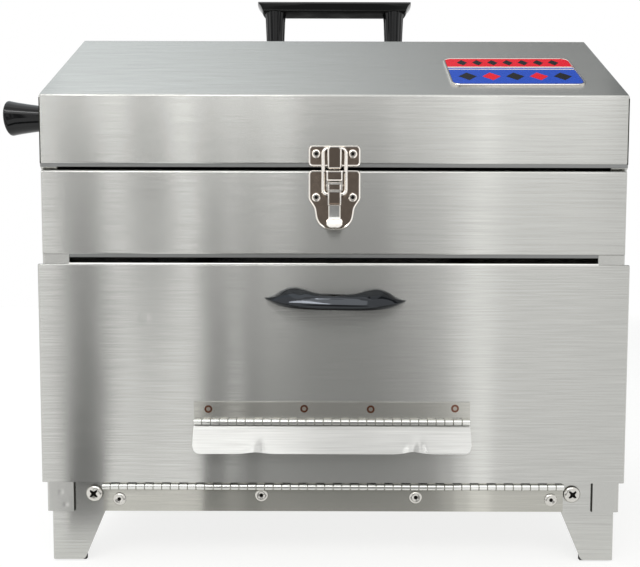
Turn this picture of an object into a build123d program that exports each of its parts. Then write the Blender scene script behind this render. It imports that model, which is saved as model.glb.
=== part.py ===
"""Portable charcoal grill in brushed stainless sheet: box body on four corner legs, hood hinged at
the rear, fold-down front door with an air flap, toggle latch, carry handle and side knob.

Millimetres, +Z up, the front towards -Y, the side knob towards -X. The feet stand on Z = 0 and the
origin is under the middle of the whole grill.
"""
import os
from math import cos, radians, sin, sqrt, tan

from build123d import *

os.makedirs("parts", exist_ok=True)

# Body shell
BODY_WIDTH = 427.0
DEPTH = 343.0
SHEET = 1.2
BEND = 2.0
SEAM = 1.0
FIT = 0.1
RUNNING_GAP = 0.3
SKIRT_BOTTOM = 38.0
FLOOR_TOP = 60.0
PANEL_BOTTOM = 229.0
BODY_TOP = 290.0
RETURN_WIDTH = 20.0
TOP_FLANGE = 15.0
PANEL_LOWER_FLANGE = 9.0

# Legs and feet
LEG_WIDTH = 40.2
FOOT_WIDTH = 24.0
LEG_CORNER = 3.0
FOOT_LIFT = 0.5
FOOT_CUT_HEIGHT = 6.5
FOOT_CUT_STEP = 2.6
PAD_HEIGHT = 8.0
PAD_REACH = 1.2
LEG_SCREW_INSET = 35.3
LEG_SCREW_Z = 51.5
LEG_SCREW_SIDE_Y = 26.0
SCREW_HEAD_RADIUS = 6.4
SCREW_HEAD_HEIGHT = 3.0
SCREW_RADIUS = 3.0
HEAD_SIDES = 8
SHANK_SIDES = 6
NUT_ACROSS_FLATS = 11.0
NUT_HEIGHT = 5.0

# Piano hinges
LEAF = 1.0
KNUCKLE_RADIUS = 2.5
KNUCKLE_SIDES = 6
KNUCKLE_GAP = 0.16
PIN_RADIUS = 1.4
PIN_SIDES = 10
BORE_CLEARANCE = 0.05
BORE_SIDES = 6
DOOR_HINGE_PITCH = 6.35
DOOR_HINGE_MARGIN = 42.0
DOOR_HINGE_Z = 57.2
DOOR_LEAF_WIDTH = 17.0
FLAP_HINGE_PITCH = 6.35
FLAP_HINGE_COUNT = 32
FLAP_HINGE_X = -1.0
FLAP_HINGE_Z = 106.5
FLAP_LEAF_WIDTH = 14.6
HOOD_HINGE_PITCH = 25.4
HOOD_HINGE_MARGIN = 48.0
HOOD_LEAF_WIDTH = 15.5
HINGE_RIVET_RADIUS = 4.8
HINGE_RIVET_HEIGHT = 1.5
HINGE_RIVET_HOLE = 1.5
DOOR_RIVET_LEFT_INSET = 12.0
DOOR_RIVET_RIGHT_INSET = 9.0
INNER_DOOR_RIVETS = ((-53.5, 50.4), (61.5, 49.0))
OUTER_DOOR_RIVET_Z = 47.3
REAR_RIVET_INSET = 9.1
REAR_RIVET_COUNT = 4
REAR_RIVET_RADIUS = 4.0

# Door
DOOR_SIDE_GAP = 1.7
DOOR_FACE_GAP = 1.1
DOOR_BOTTOM = 60.5
DOOR_TOP = 222.0
DOOR_WRAP = 12.0
SLOT_LENGTH = 24.0
SLOT_HEIGHT = 9.0
SLOT_PITCH = 33.0
SLOT_COUNT = 6
SLOT_Z = 93.0
STIFFENER_INSET = 63.9
STIFFENER_X = 4.0
STIFFENER_Z = 158.0
STIFFENER_HEIGHT = 40.0
STIFFENER_FLANGE = 9.0
STIFFENER_DEPTH = 8.0
DOOR_OPEN = 95.0

# Air flap
FLAP_LENGTH = 23.6
FLAP_CORNER = 6.0
FLAP_REST_ANGLE = 25.0
FLAP_DENTS = (-55.0, 60.0)
FLAP_DENT_RADIUS = 16.0
FLAP_DENT_RISE = 1.6

# Door pull
PULL_Z = 197.0
PULL_X = 1.2
PULL_HALF_LENGTH = 52.0
PULL_LOBE_X = 30.0
PULL_LOBE_RISE = 8.1
PULL_MIDDLE_RISE = 4.2
PULL_SAG = 3.9
PULL_REACH = 23.0
PULL_GRIP_REACH = 15.5
PULL_GRIP_HALF = 24.0
PULL_SCREW_X = 34.0
PULL_SCREW_RADIUS = 3.6
PULL_SCREW_HEIGHT = 2.4

# Hood
HOOD_LIFT = 4.3
HOOD_SHOULDER = 343.6
RIDGE_RISE = 71.0
RIDGE_RUN = 98.0
HOOD_FLANGE = 12.0
END_CORNER = 4.0
HOOD_OPEN = 100.0
STOP_REACH = 15.0
STOP_HEIGHT = 22.0
STOP_WIDTH = 16.0
STOP_INSET = 25.5
STOP_SHEET = 1.5

# Carry handle and side knob
HANDLE_LENGTH = 144.0
HANDLE_WIDTH = 22.0
HANDLE_BAR = 8.5
HANDLE_END_BOW = 3.0
HANDLE_CROWN = 3.0
HANDLE_CLEARANCE = 49.0
HANDLE_POST_X = 56.0
POST_TOP_RADIUS = 9.6
POST_FOOT_RADIUS = 7.6
POST_SIDES = 16
INNER_SCREW_RADIUS = 5.0
INNER_SCREW_HEIGHT = 2.6
KNOB_LENGTH = 37.0
KNOB_RIM_RADIUS = 12.9
KNOB_NECK_RADIUS = 8.4
KNOB_DOME = 3.0
KNOB_SIDES = 24
KNOB_Y = 33.0
KNOB_DROP = 9.7

# Badge plate
BADGE_WIDTH = 101.0
BADGE_HEIGHT = 58.0
BADGE_THICKNESS = 1.4
BADGE_CORNER = 7.0
BADGE_RIM = 2.2
BADGE_RECESS = 0.5
BADGE_INSET = 76.5
BADGE_UP_SLOPE = 47.0
BADGE_TILT = 0.4

# Toggle latch
LATCH_X = 1.0
LATCH_PLATE = 1.2
KEEPER_WIDTH = 37.6
KEEPER_HEIGHT = 15.0
KEEPER_BOTTOM = 292.4
KEEPER_CORNER = 3.0
KEEPER_RIVET_Z = 301.3
TONGUE_WIDTH = 9.9
TONGUE_SHEET = 1.2
TONGUE_TOP = 307.7
TONGUE_MOUTH = 6.1
TONGUE_CORNER = 4.0
BASE_WIDTH = 37.7
BASE_TOP = 289.7
BASE_SHOULDER = 269.0
BASE_BOTTOM = 244.5
BASE_SHOULDER_RADIUS = 4.0
BASE_KNEE_X = 14.6
BASE_KNEE_Z = 262.5
BASE_KNEE_RADIUS = 8.0
BASE_TIP_X = 11.8
BASE_TIP_RADIUS = 8.0
BASE_RIVET_Z = 270.2
LATCH_RIVET_X = 13.2
LATCH_RIVET_RADIUS = 3.3
LATCH_RIVET_HEIGHT = 1.2
LATCH_RIVET_HOLE = 1.1
PIVOT_Z = 278.0
PIVOT_STANDOFF = 6.0
PIVOT_RADIUS = 1.2
PIVOT_HALF_LENGTH = 6.2
BRACKET_HALF = 5.8
BRACKET_WALL = 1.0
BRACKET_FRONT = 8.0
BRACKET_BOTTOM = 274.4
BRACKET_WEB_BOTTOM = 283.2
BRACKET_TOP = 290.6
BRACKET_CORNER = 1.4
BAIL_DROP = 6.0
BAIL_OVER_CENTRE = 0.8
BAIL_WIRE = 1.5
BAIL_HALF = 8.2
BAIL_TOP_Z = 304.5
BAIL_TOP_STANDOFF = 3.0
BAIL_END_X = 3.0
BAIL_CORNER = 3.0
BAIL_SIDES = 6
LEVER_HALF = 4.5
LEVER_SHEET = 1.2
LEVER_WALL = 1.0
TAB_HALF = 6.0
LEVER_FACE = ((-8.4, 280.6), (-8.4, 268.5), (-4.6, 262.0), (-4.0, 254.5), (-9.5, 246.0))
LEVER_CHEEK = (
    (-7.4, 280.4),
    (-4.2, 280.4),
    (-3.2, 279.0),
    (-2.6, 273.5),
    (-2.9, 270.2),
    (-4.2, 269.0),
    (-7.4, 269.0),
)

# Inside
ASH_PAN_SIDE_GAP = 14.3
ASH_PAN_END_GAP = 21.5
ASH_PAN_HEIGHT = 24.0
PAN_FLARE = 5.0
REST_SIZE = 12.0
REST_END_GAP = 21.5
CHARCOAL_GRATE_Z = 128.0
COOKING_GRATE_Z = 272.0
GRATE_WIRE = 2.2
GRATE_BAR = 3.0
GRATE_WELD = 0.4
GRATE_BAR_COUNT = 2
GRATE_SIDES = 4
GRATE_END_GAP = 3.0
GRATE_BAR_INSET = 7.0
GRATE_FACE_GAP = 25.5
CHARCOAL_WIRE_COUNT = 10
COOKING_WIRE_COUNT = 17

# Derived places, measured from the grill's mid-plane, front face and table
HALF = BODY_WIDTH / 2
PANEL_HALF = HALF - SEAM
RETURN_EDGE = HALF - RETURN_WIDTH
SKIRT_FACE = 2 * SHEET
SKIRT_HALF = HALF - SHEET - FIT
LEG_FACE = SKIRT_FACE + SHEET
LEG_HALF = SKIRT_HALF - SHEET - FIT
MIDDLE = DEPTH / 2
LEG_SCREW_X = HALF - LEG_SCREW_INSET
HOOD_BOTTOM = BODY_TOP + HOOD_LIFT
HOOD_SEAT = BODY_TOP + RUNNING_GAP
RIDGE_Z = HOOD_SHOULDER + RIDGE_RISE
DOOR_HALF = HALF + DOOR_SIDE_GAP + SHEET
DOOR_INNER = SHEET - DOOR_FACE_GAP
DOOR_FACE = DOOR_INNER - SHEET
KNUCKLE_OFFSET = KNUCKLE_RADIUS + RUNNING_GAP
DOOR_AXIS_Y = SKIRT_FACE - KNUCKLE_OFFSET
FLAP_AXIS_Y = DOOR_FACE - KNUCKLE_OFFSET
HOOD_AXIS_Y = DEPTH + KNUCKLE_OFFSET
HOOD_AXIS_Z = BODY_TOP + HOOD_LIFT / 2
FRONT_REACH = PULL_REACH - DOOR_FACE
REAR_REACH = STOP_REACH + STOP_SHEET

# The whole grill's middle is the origin, so the mid-plane and the front face stand off it
MID_X = (HALF + KNOB_LENGTH - DOOR_HALF) / 2
FRONT_Y = -(DEPTH + REAR_REACH - FRONT_REACH) / 2

# Datum planes. front and rear: across, up. section: depth from the front face, up.
# level: across, depth from the front face. slope: across, up the hood's front slope.
front = Plane(origin=(MID_X, FRONT_Y, 0), x_dir=(1, 0, 0), z_dir=(0, -1, 0))
rear = Plane(origin=(MID_X, FRONT_Y + DEPTH, 0), x_dir=(-1, 0, 0), z_dir=(0, 1, 0))
section = Plane(origin=(MID_X, FRONT_Y, 0), x_dir=(0, 1, 0), z_dir=(1, 0, 0))
level = Plane(origin=(MID_X, FRONT_Y, 0))
SLOPE_LENGTH = (RIDGE_RISE**2 + RIDGE_RUN**2) ** 0.5
slope = Plane(
    origin=(MID_X, FRONT_Y, HOOD_SHOULDER),
    x_dir=(1, 0, 0),
    z_dir=(0, -RIDGE_RISE / SLOPE_LENGTH, RIDGE_RUN / SLOPE_LENGTH),
)
mid_plane = Plane(origin=(MID_X, 0, 0), z_dir=(1, 0, 0))
middle_depth = Plane(origin=(0, FRONT_Y + MIDDLE, 0), z_dir=(0, 1, 0))


def save(block, name):
    """Label a finished piece and write its file."""
    block.part.label = name
    export_step(block.part, f"parts/{name}.step")


# Side panels: a wall with a folded return at the front and at the rear, and a flange on top that the
# hood's ends come down on. The returns stop under the front and rear panels' own top flanges.
with BuildPart() as side_panel_right:
    with BuildSketch(level.offset(SKIRT_BOTTOM)):
        with BuildLine():
            FilletPolyline(
                (RETURN_EDGE, SHEET),
                (HALF, SHEET),
                (HALF, DEPTH - SHEET),
                (RETURN_EDGE, DEPTH - SHEET),
                radius=BEND,
            )
            offset(amount=SHEET, side=Side.LEFT)
        make_face()
    extrude(amount=BODY_TOP - SKIRT_BOTTOM)
    with BuildSketch(level.offset(BODY_TOP - BEND - FIT)):
        with Locations((HALF, 0), (HALF, DEPTH)):
            Rectangle(3 * RETURN_WIDTH, 2 * (TOP_FLANGE + FIT))
    extrude(amount=2 * BEND, mode=Mode.SUBTRACT)
    with BuildSketch(level.offset(BODY_TOP - SHEET)):
        with Locations((HALF - TOP_FLANGE / 2, MIDDLE)):
            Rectangle(TOP_FLANGE, DEPTH - 2 * (TOP_FLANGE + FIT))
    extrude(amount=SHEET)
    top_edge = side_panel_right.edges().filter_by(Axis.Y).group_by(Axis.Z)[-1].sort_by(Axis.X)[-1]
    fillet(top_edge, SHEET - FIT)
save(side_panel_right, "side_panel_right")

with BuildPart() as side_panel_left:
    mirror(side_panel_right.part, about=mid_plane)
save(side_panel_left, "side_panel_left")

# Upper front panel: lies over the side panels' returns, folded back at the top across its whole
# width and at the bottom between the returns.
with BuildPart() as upper_front_panel:
    with BuildSketch(section):
        with BuildLine():
            FilletPolyline(
                (0, PANEL_BOTTOM), (0, BODY_TOP), (TOP_FLANGE, BODY_TOP), radius=BEND
            )
            offset(amount=SHEET, side=Side.RIGHT)
        make_face()
    extrude(amount=PANEL_HALF, both=True)
    with BuildSketch(section):
        with Locations((PANEL_LOWER_FLANGE / 2, PANEL_BOTTOM + SHEET / 2)):
            Rectangle(PANEL_LOWER_FLANGE, SHEET)
    extrude(amount=RETURN_EDGE - SEAM, both=True)
    low_edge = upper_front_panel.edges().filter_by(Axis.X).group_by(Axis.Z)[0].sort_by(Axis.Y)[0]
    fillet(low_edge, SHEET - FIT)
save(upper_front_panel, "upper_front_panel")

# Rear panel: full height, folded forward at the top.
with BuildPart() as rear_panel:
    with BuildSketch(section):
        with BuildLine():
            FilletPolyline(
                (DEPTH, SKIRT_BOTTOM), (DEPTH, BODY_TOP), (DEPTH - TOP_FLANGE, BODY_TOP), radius=BEND
            )
            offset(amount=SHEET, side=Side.LEFT)
        make_face()
    extrude(amount=PANEL_HALF, both=True)
save(rear_panel, "rear_panel")

# Floor pan: an upturned tray between the side panels. Its front skirt is the sill under the door.
with BuildPart() as floor_pan:
    with BuildSketch(level.offset(SKIRT_BOTTOM + FIT)):
        with Locations((0, MIDDLE)):
            RectangleRounded(2 * SKIRT_HALF, DEPTH - 2 * SKIRT_FACE, BEND)
    extrude(amount=FLOOR_TOP - SKIRT_BOTTOM - FIT)
    underside = floor_pan.faces().sort_by(Axis.Z)[0]
    offset(amount=-SHEET, openings=underside)
save(floor_pan, "floor_pan")

# Legs: corner angles inside the skirts, each flange narrowing to the foot, with rubber pads inside
FOOT_EDGE = LEG_HALF - FOOT_WIDTH
LEG_EDGE = LEG_HALF - LEG_WIDTH
LEG_TOP = FLOOR_TOP - SHEET - FIT


def leg_outline(corner, inner_edge, foot_edge):
    """Corner points of a leg flange: straight at the corner, slanting in from the skirt to the foot."""
    inward = 1 if inner_edge > corner else -1
    return (
        (corner, LEG_TOP),
        (inner_edge, LEG_TOP),
        (inner_edge, SKIRT_BOTTOM),
        (foot_edge + inward * FOOT_CUT_STEP, FOOT_CUT_HEIGHT),
        (foot_edge, FOOT_LIFT),
        (corner, FOOT_LIFT),
    )


with BuildPart() as leg_front_right:
    with BuildSketch(front.offset(-LEG_FACE)):
        with BuildLine():
            Polyline(*leg_outline(LEG_HALF, LEG_EDGE, FOOT_EDGE), close=True)
        face_outline = make_face()
        fillet(face_outline.vertices().group_by(Axis.Y)[0].sort_by(Axis.X)[0], LEG_CORNER)
    extrude(amount=-SHEET)
    with BuildSketch(section.offset(LEG_HALF)):
        with BuildLine():
            Polyline(
                *leg_outline(LEG_FACE, LEG_FACE + LEG_WIDTH, LEG_FACE + FOOT_WIDTH), close=True
            )
        side_outline = make_face()
        fillet(side_outline.vertices().group_by(Axis.Y)[0].sort_by(Axis.X)[-1], LEG_CORNER)
    extrude(amount=-SHEET)
    leg_bend = leg_front_right.edges().filter_by(Axis.Z).group_by(Axis.X)[-1].sort_by(Axis.Y)[0]
    fillet(leg_bend, BEND)
save(leg_front_right, "leg_front_right")

with BuildPart() as leg_front_left:
    mirror(leg_front_right.part, about=mid_plane)
save(leg_front_left, "leg_front_left")

with BuildPart() as leg_rear_right:
    mirror(leg_front_right.part, about=middle_depth)
save(leg_rear_right, "leg_rear_right")

with BuildPart() as leg_rear_left:
    mirror(leg_front_left.part, about=middle_depth)
save(leg_rear_left, "leg_rear_left")

PAD_SIZE = FOOT_WIDTH - SHEET - FIT + PAD_REACH
with BuildPart() as foot_pads:
    pad_x = LEG_HALF - SHEET - FIT - PAD_SIZE / 2
    pad_y = LEG_FACE + SHEET + FIT + PAD_SIZE / 2
    with BuildSketch(level):
        with Locations((0, MIDDLE)):
            with GridLocations(2 * pad_x, DEPTH - 2 * pad_y, 2, 2):
                Rectangle(PAD_SIZE, PAD_SIZE)
    extrude(amount=PAD_HEIGHT)
    chamfer(foot_pads.faces().group_by(Axis.Z)[-1].edges(), PAD_REACH / 2)
save(foot_pads, "foot_pads")

# Leg screws: round heads outside, nuts inside the legs, at the front, the rear and the sides
FACE_SCREWS = ((-LEG_SCREW_X, LEG_SCREW_Z), (LEG_SCREW_X, LEG_SCREW_Z))
right_side = section.offset(HALF)
left_side = Plane(origin=(MID_X - HALF, FRONT_Y, 0), x_dir=(0, -1, 0), z_dir=(-1, 0, 0))
SIDE_SCREWS_RIGHT = ((LEG_SCREW_SIDE_Y, LEG_SCREW_Z), (DEPTH - LEG_SCREW_SIDE_Y, LEG_SCREW_Z))
SIDE_SCREWS_LEFT = tuple((-y, z) for y, z in SIDE_SCREWS_RIGHT)
SIDE_STACK = HALF - LEG_HALF + SHEET
REAR_STACK = SKIRT_FACE + 2 * SHEET
SCREW_SEATS = (
    (front.offset(-SKIRT_FACE), FACE_SCREWS, 2 * SHEET),
    (rear, FACE_SCREWS, REAR_STACK),
    (right_side, SIDE_SCREWS_RIGHT, SIDE_STACK),
    (left_side, SIDE_SCREWS_LEFT, SIDE_STACK),
)
with BuildPart() as leg_screws:
    for seat, places, stack in SCREW_SEATS:
        with BuildSketch(seat):
            with Locations(*places):
                RegularPolygon(SCREW_HEAD_RADIUS, HEAD_SIDES)
        extrude(amount=SCREW_HEAD_HEIGHT)
        heads = leg_screws.faces().group_by(Axis(seat.origin, seat.z_dir))[-1]
        chamfer(heads.edges(), SCREW_HEAD_HEIGHT / 2)
        with BuildSketch(seat):
            with Locations(*places):
                RegularPolygon(SCREW_RADIUS, SHANK_SIDES)
        extrude(amount=-stack - NUT_HEIGHT)
save(leg_screws, "leg_screws")

with BuildPart() as leg_nuts:
    for seat, places, stack in SCREW_SEATS:
        with BuildSketch(seat.offset(-stack)):
            with Locations(*places):
                RegularPolygon(NUT_ACROSS_FLATS / 2, 6, major_radius=False)
        extrude(amount=-NUT_HEIGHT + SHEET)
save(leg_nuts, "leg_nuts")


def hinge_leaf(start, pitch, count, first, plate_u, plate_v, bored):
    """One leaf of a piano hinge. start is a plane across the pin at the hinge's end, whose x points
    away from the mounting face and whose y points along this leaf. plate_u is where the plate's back
    lies, plate_v is its far edge, and first is 0 or 1 for the even or the odd knuckles."""
    near = KNUCKLE_RADIUS + RUNNING_GAP
    with BuildPart() as knuckle:
        with BuildSketch(start.offset(KNUCKLE_GAP / 2)):
            RegularPolygon(KNUCKLE_RADIUS, KNUCKLE_SIDES)
            with Locations((plate_u + LEAF / 2, near / 2)):
                Rectangle(LEAF, near)
            if bored:
                RegularPolygon(
                    PIN_RADIUS + BORE_CLEARANCE, BORE_SIDES, major_radius=False, mode=Mode.SUBTRACT
                )
        extrude(amount=pitch - KNUCKLE_GAP)
    with BuildPart() as leaf:
        with BuildSketch(start):
            with Locations((plate_u + LEAF / 2, (near + plate_v) / 2)):
                Rectangle(LEAF, plate_v - near)
        extrude(amount=pitch * count)
        with Locations(*[start.z_dir * (pitch * i) for i in range(first, count, 2)]):
            add(knuckle.part)
    return leaf


def hinge_pin(start, length):
    """The pin of a piano hinge, from end to end."""
    with BuildPart() as pin:
        with BuildSketch(start):
            RegularPolygon(PIN_RADIUS, PIN_SIDES)
        extrude(amount=length)
    return pin


def hinge_end(side, x, y, z, length, lean=0.0):
    """Plane across a hinge's pin at its left (-1) or right (+1) end, looking along the hinge. Its x
    points to the rear, turned down by lean, and its y points up at the left end, down at the right."""
    return Plane(
        origin=(MID_X + x + side * length / 2, FRONT_Y + y, z),
        x_dir=(0, cos(radians(lean)), -sin(radians(lean))),
        z_dir=(-side, 0, 0),
    )


# Door hinge: a piano hinge along the sill, its lower leaf on the sill and its upper leaf, cranked
# forward, behind the door skin
DOOR_HINGE_COUNT = 2 * int((HALF - DOOR_HINGE_MARGIN) / DOOR_HINGE_PITCH)
DOOR_HINGE_LENGTH = DOOR_HINGE_PITCH * DOOR_HINGE_COUNT
door_left_end = hinge_end(-1, 0, DOOR_AXIS_Y, DOOR_HINGE_Z, DOOR_HINGE_LENGTH)
door_right_end = hinge_end(1, 0, DOOR_AXIS_Y, DOOR_HINGE_Z, DOOR_HINGE_LENGTH)
sill_leaf = hinge_leaf(
    door_right_end,
    DOOR_HINGE_PITCH,
    DOOR_HINGE_COUNT,
    0,
    SKIRT_FACE - LEAF - DOOR_AXIS_Y,
    DOOR_HINGE_Z - SKIRT_BOTTOM - FIT,
    False,
)
save(sill_leaf, "door_hinge_sill_leaf")
door_leaf = hinge_leaf(
    door_left_end,
    DOOR_HINGE_PITCH,
    DOOR_HINGE_COUNT,
    0,
    DOOR_INNER - DOOR_AXIS_Y,
    DOOR_LEAF_WIDTH,
    True,
)
save(door_leaf, "door_hinge_door_leaf")
save(hinge_pin(door_left_end, DOOR_HINGE_LENGTH), "door_hinge_pin")


def rivets(plane, places, radius, height, hole, grip):
    """Blind rivets: a low head with the mandrel's hole in it, a shank through the sheets and a tail."""
    with BuildPart() as group:
        with BuildSketch(plane):
            with Locations(*places):
                RegularPolygon(radius, HEAD_SIDES)
        extrude(amount=height)
        heads = group.faces().group_by(Axis(plane.origin, plane.z_dir))[-1]
        chamfer(heads.edges(), height - FIT)
        if hole:
            with BuildSketch(plane.offset(height)):
                with Locations(*places):
                    RegularPolygon(hole, SHANK_SIDES)
            extrude(amount=-height, mode=Mode.SUBTRACT)
        with BuildSketch(plane):
            with Locations(*places):
                RegularPolygon(radius / 2, SHANK_SIDES)
        extrude(amount=-grip - height)
    return group


outer_rivet_x = DOOR_HINGE_LENGTH / 2
door_hinge_rivets = rivets(
    front.offset(-(SKIRT_FACE - LEAF)),
    (
        (DOOR_RIVET_LEFT_INSET - outer_rivet_x, OUTER_DOOR_RIVET_Z),
        *INNER_DOOR_RIVETS,
        (outer_rivet_x - DOOR_RIVET_RIGHT_INSET, OUTER_DOOR_RIVET_Z),
    ),
    HINGE_RIVET_RADIUS,
    HINGE_RIVET_HEIGHT,
    HINGE_RIVET_HOLE,
    LEAF + SHEET,
)
save(door_hinge_rivets, "door_hinge_rivets")

# Hood hinge: a heavier piano hinge across the back, one leaf on the rear panel and one on the hood
HOOD_HINGE_COUNT = int((BODY_WIDTH - 2 * HOOD_HINGE_MARGIN) / HOOD_HINGE_PITCH)
HOOD_HINGE_LENGTH = HOOD_HINGE_PITCH * HOOD_HINGE_COUNT
hood_left_end = hinge_end(-1, 0, HOOD_AXIS_Y, HOOD_AXIS_Z, HOOD_HINGE_LENGTH)
hood_right_end = hinge_end(1, 0, HOOD_AXIS_Y, HOOD_AXIS_Z, HOOD_HINGE_LENGTH)
hood_hinge_body_leaf = hinge_leaf(
    hood_right_end,
    HOOD_HINGE_PITCH,
    HOOD_HINGE_COUNT,
    HOOD_HINGE_COUNT % 2,
    DEPTH - HOOD_AXIS_Y,
    HOOD_LEAF_WIDTH,
    False,
)
save(hood_hinge_body_leaf, "hood_hinge_body_leaf")
hood_hinge_hood_leaf = hinge_leaf(
    hood_left_end,
    HOOD_HINGE_PITCH,
    HOOD_HINGE_COUNT,
    0,
    DEPTH - HOOD_AXIS_Y,
    HOOD_LEAF_WIDTH,
    True,
)
save(hood_hinge_hood_leaf, "hood_hinge_hood_leaf")
save(hinge_pin(hood_left_end, HOOD_HINGE_LENGTH), "hood_hinge_pin")

rivet_drop = (HOOD_LEAF_WIDTH + KNUCKLE_OFFSET) / 2
rear_rivet_pitch = (HOOD_HINGE_LENGTH - 2 * REAR_RIVET_INSET) / (REAR_RIVET_COUNT - 1)
rear_rivet_x = [
    rear_rivet_pitch * (i - (REAR_RIVET_COUNT - 1) / 2) for i in range(REAR_RIVET_COUNT)
]
body_rivets = rivets(
    rear.offset(LEAF),
    [(x, HOOD_AXIS_Z - rivet_drop) for x in rear_rivet_x],
    REAR_RIVET_RADIUS,
    HINGE_RIVET_HEIGHT,
    0,
    LEAF + SHEET,
)
save(body_rivets, "hood_hinge_body_rivets")
hood_rivets = rivets(
    rear.offset(LEAF),
    [(x, HOOD_AXIS_Z + rivet_drop) for x in rear_rivet_x],
    REAR_RIVET_RADIUS,
    HINGE_RIVET_HEIGHT,
    0,
    LEAF + SHEET,
)
save(hood_rivets, "hood_hinge_hood_rivets")

# Hood stops: two angles on the rear panel that the open hood's back comes to rest on
stop_y = STOP_REACH + STOP_SHEET - KNUCKLE_OFFSET
STOP_TOP = (
    HOOD_AXIS_Z
    + KNUCKLE_OFFSET / sin(radians(HOOD_OPEN))
    + stop_y / tan(radians(HOOD_OPEN))
    - RUNNING_GAP
)
with BuildPart() as hood_stops:
    for stop_x in (STOP_INSET - HALF, HALF - STOP_INSET):
        with BuildSketch(section.offset(stop_x)):
            with BuildLine():
                Polyline(
                    (DEPTH, STOP_TOP - STOP_HEIGHT),
                    (DEPTH, STOP_TOP),
                    (DEPTH + REAR_REACH, STOP_TOP),
                    (DEPTH + REAR_REACH, STOP_TOP - STOP_SHEET),
                    (DEPTH + STOP_SHEET, STOP_TOP - STOP_SHEET),
                    (DEPTH + STOP_SHEET, STOP_TOP - STOP_HEIGHT),
                    close=True,
                )
            make_face()
        extrude(amount=STOP_WIDTH / 2, both=True)
save(hood_stops, "hood_stops")

# Door: a skin that wraps the body's sides, with a top flange that goes in between the returns and a
# row of air slots behind the flap
with BuildPart() as door_skin:
    with BuildSketch(level.offset(DOOR_BOTTOM)):
        with BuildLine():
            FilletPolyline(
                (-DOOR_HALF, DOOR_WRAP),
                (-DOOR_HALF, DOOR_FACE),
                (DOOR_HALF, DOOR_FACE),
                (DOOR_HALF, DOOR_WRAP),
                radius=BEND,
            )
            offset(amount=SHEET, side=Side.LEFT)
        make_face()
    extrude(amount=DOOR_TOP - DOOR_BOTTOM)
    with BuildSketch(level.offset(DOOR_TOP - SHEET)):
        with Locations((0, (DOOR_WRAP + DOOR_FACE) / 2)):
            Rectangle(2 * (RETURN_EDGE - SEAM), DOOR_WRAP - DOOR_FACE)
    extrude(amount=SHEET)
    door_top_edge = door_skin.edges().filter_by(Axis.X).group_by(Axis.Z)[-1].sort_by(Axis.Y)[0]
    fillet(door_top_edge, SHEET - FIT)
    with BuildSketch(front.offset(-DOOR_INNER)):
        with Locations((FLAP_HINGE_X, SLOT_Z)):
            with GridLocations(SLOT_PITCH, 1, SLOT_COUNT, 1):
                Rectangle(SLOT_LENGTH, SLOT_HEIGHT)
    extrude(amount=SHEET, mode=Mode.SUBTRACT)
save(door_skin, "door_skin")

# Door stiffener: a hat channel welded behind the skin
with BuildPart() as door_stiffener:
    half_hat = STIFFENER_HEIGHT / 2
    hat_edge = half_hat - STIFFENER_FLANGE
    with BuildSketch(section.offset(STIFFENER_X)):
        with BuildLine():
            Polyline(
                (DOOR_INNER, STIFFENER_Z - half_hat),
                (DOOR_INNER, STIFFENER_Z - hat_edge),
                (DOOR_INNER + STIFFENER_DEPTH, STIFFENER_Z - hat_edge + SHEET),
                (DOOR_INNER + STIFFENER_DEPTH, STIFFENER_Z + hat_edge - SHEET),
                (DOOR_INNER, STIFFENER_Z + hat_edge),
                (DOOR_INNER, STIFFENER_Z + half_hat),
            )
            offset(amount=SHEET, side=Side.RIGHT)
        make_face()
    extrude(amount=DOOR_HALF - STIFFENER_INSET, both=True)
save(door_stiffener, "door_stiffener")

# Flap hinge: fixed leaf on the door, with the flap itself as the other leaf
FLAP_WIDTH = FLAP_HINGE_PITCH * FLAP_HINGE_COUNT
flap_left_end = hinge_end(-1, FLAP_HINGE_X, FLAP_AXIS_Y, FLAP_HINGE_Z, FLAP_WIDTH)
flap_leaf = hinge_leaf(
    flap_left_end,
    FLAP_HINGE_PITCH,
    FLAP_HINGE_COUNT,
    1,
    DOOR_FACE - LEAF - FLAP_AXIS_Y,
    FLAP_LEAF_WIDTH,
    False,
)
save(flap_leaf, "flap_hinge_door_leaf")
save(hinge_pin(flap_left_end, FLAP_WIDTH), "flap_hinge_pin")

# Air flap: hangs from the hinge as its other leaf, standing off the door by its rest angle
flap_right_end = hinge_end(
    1, FLAP_HINGE_X, FLAP_AXIS_Y, FLAP_HINGE_Z, FLAP_WIDTH, FLAP_REST_ANGLE
)
flap_back = KNUCKLE_RADIUS - LEAF
flap_neck = KNUCKLE_RADIUS + 3 * LEAF
flap_knuckles = hinge_leaf(
    flap_right_end,
    FLAP_HINGE_PITCH,
    FLAP_HINGE_COUNT,
    1,
    flap_back,
    flap_neck,
    True,
)
lean = radians(FLAP_REST_ANGLE)
flap_face = Plane(
    origin=(MID_X + FLAP_HINGE_X, FRONT_Y + FLAP_AXIS_Y, FLAP_HINGE_Z),
    x_dir=(1, 0, 0),
    z_dir=(0, -cos(lean), sin(lean)),
)
with BuildPart() as vent_flap:
    add(flap_knuckles.part)
    with BuildSketch(flap_face.offset(-flap_back - LEAF)):
        with Locations((0, -(FLAP_LENGTH + flap_neck - LEAF) / 2)):
            flap_outline = Rectangle(FLAP_WIDTH, FLAP_LENGTH - flap_neck + LEAF)
        fillet(flap_outline.vertices().group_by(Axis.Y)[0], FLAP_CORNER)
        with Locations(*[(x, FLAP_DENT_RISE - FLAP_LENGTH - FLAP_DENT_RADIUS) for x in FLAP_DENTS]):
            Circle(FLAP_DENT_RADIUS, mode=Mode.SUBTRACT)
    extrude(amount=LEAF)
save(vent_flap, "vent_flap")

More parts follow.
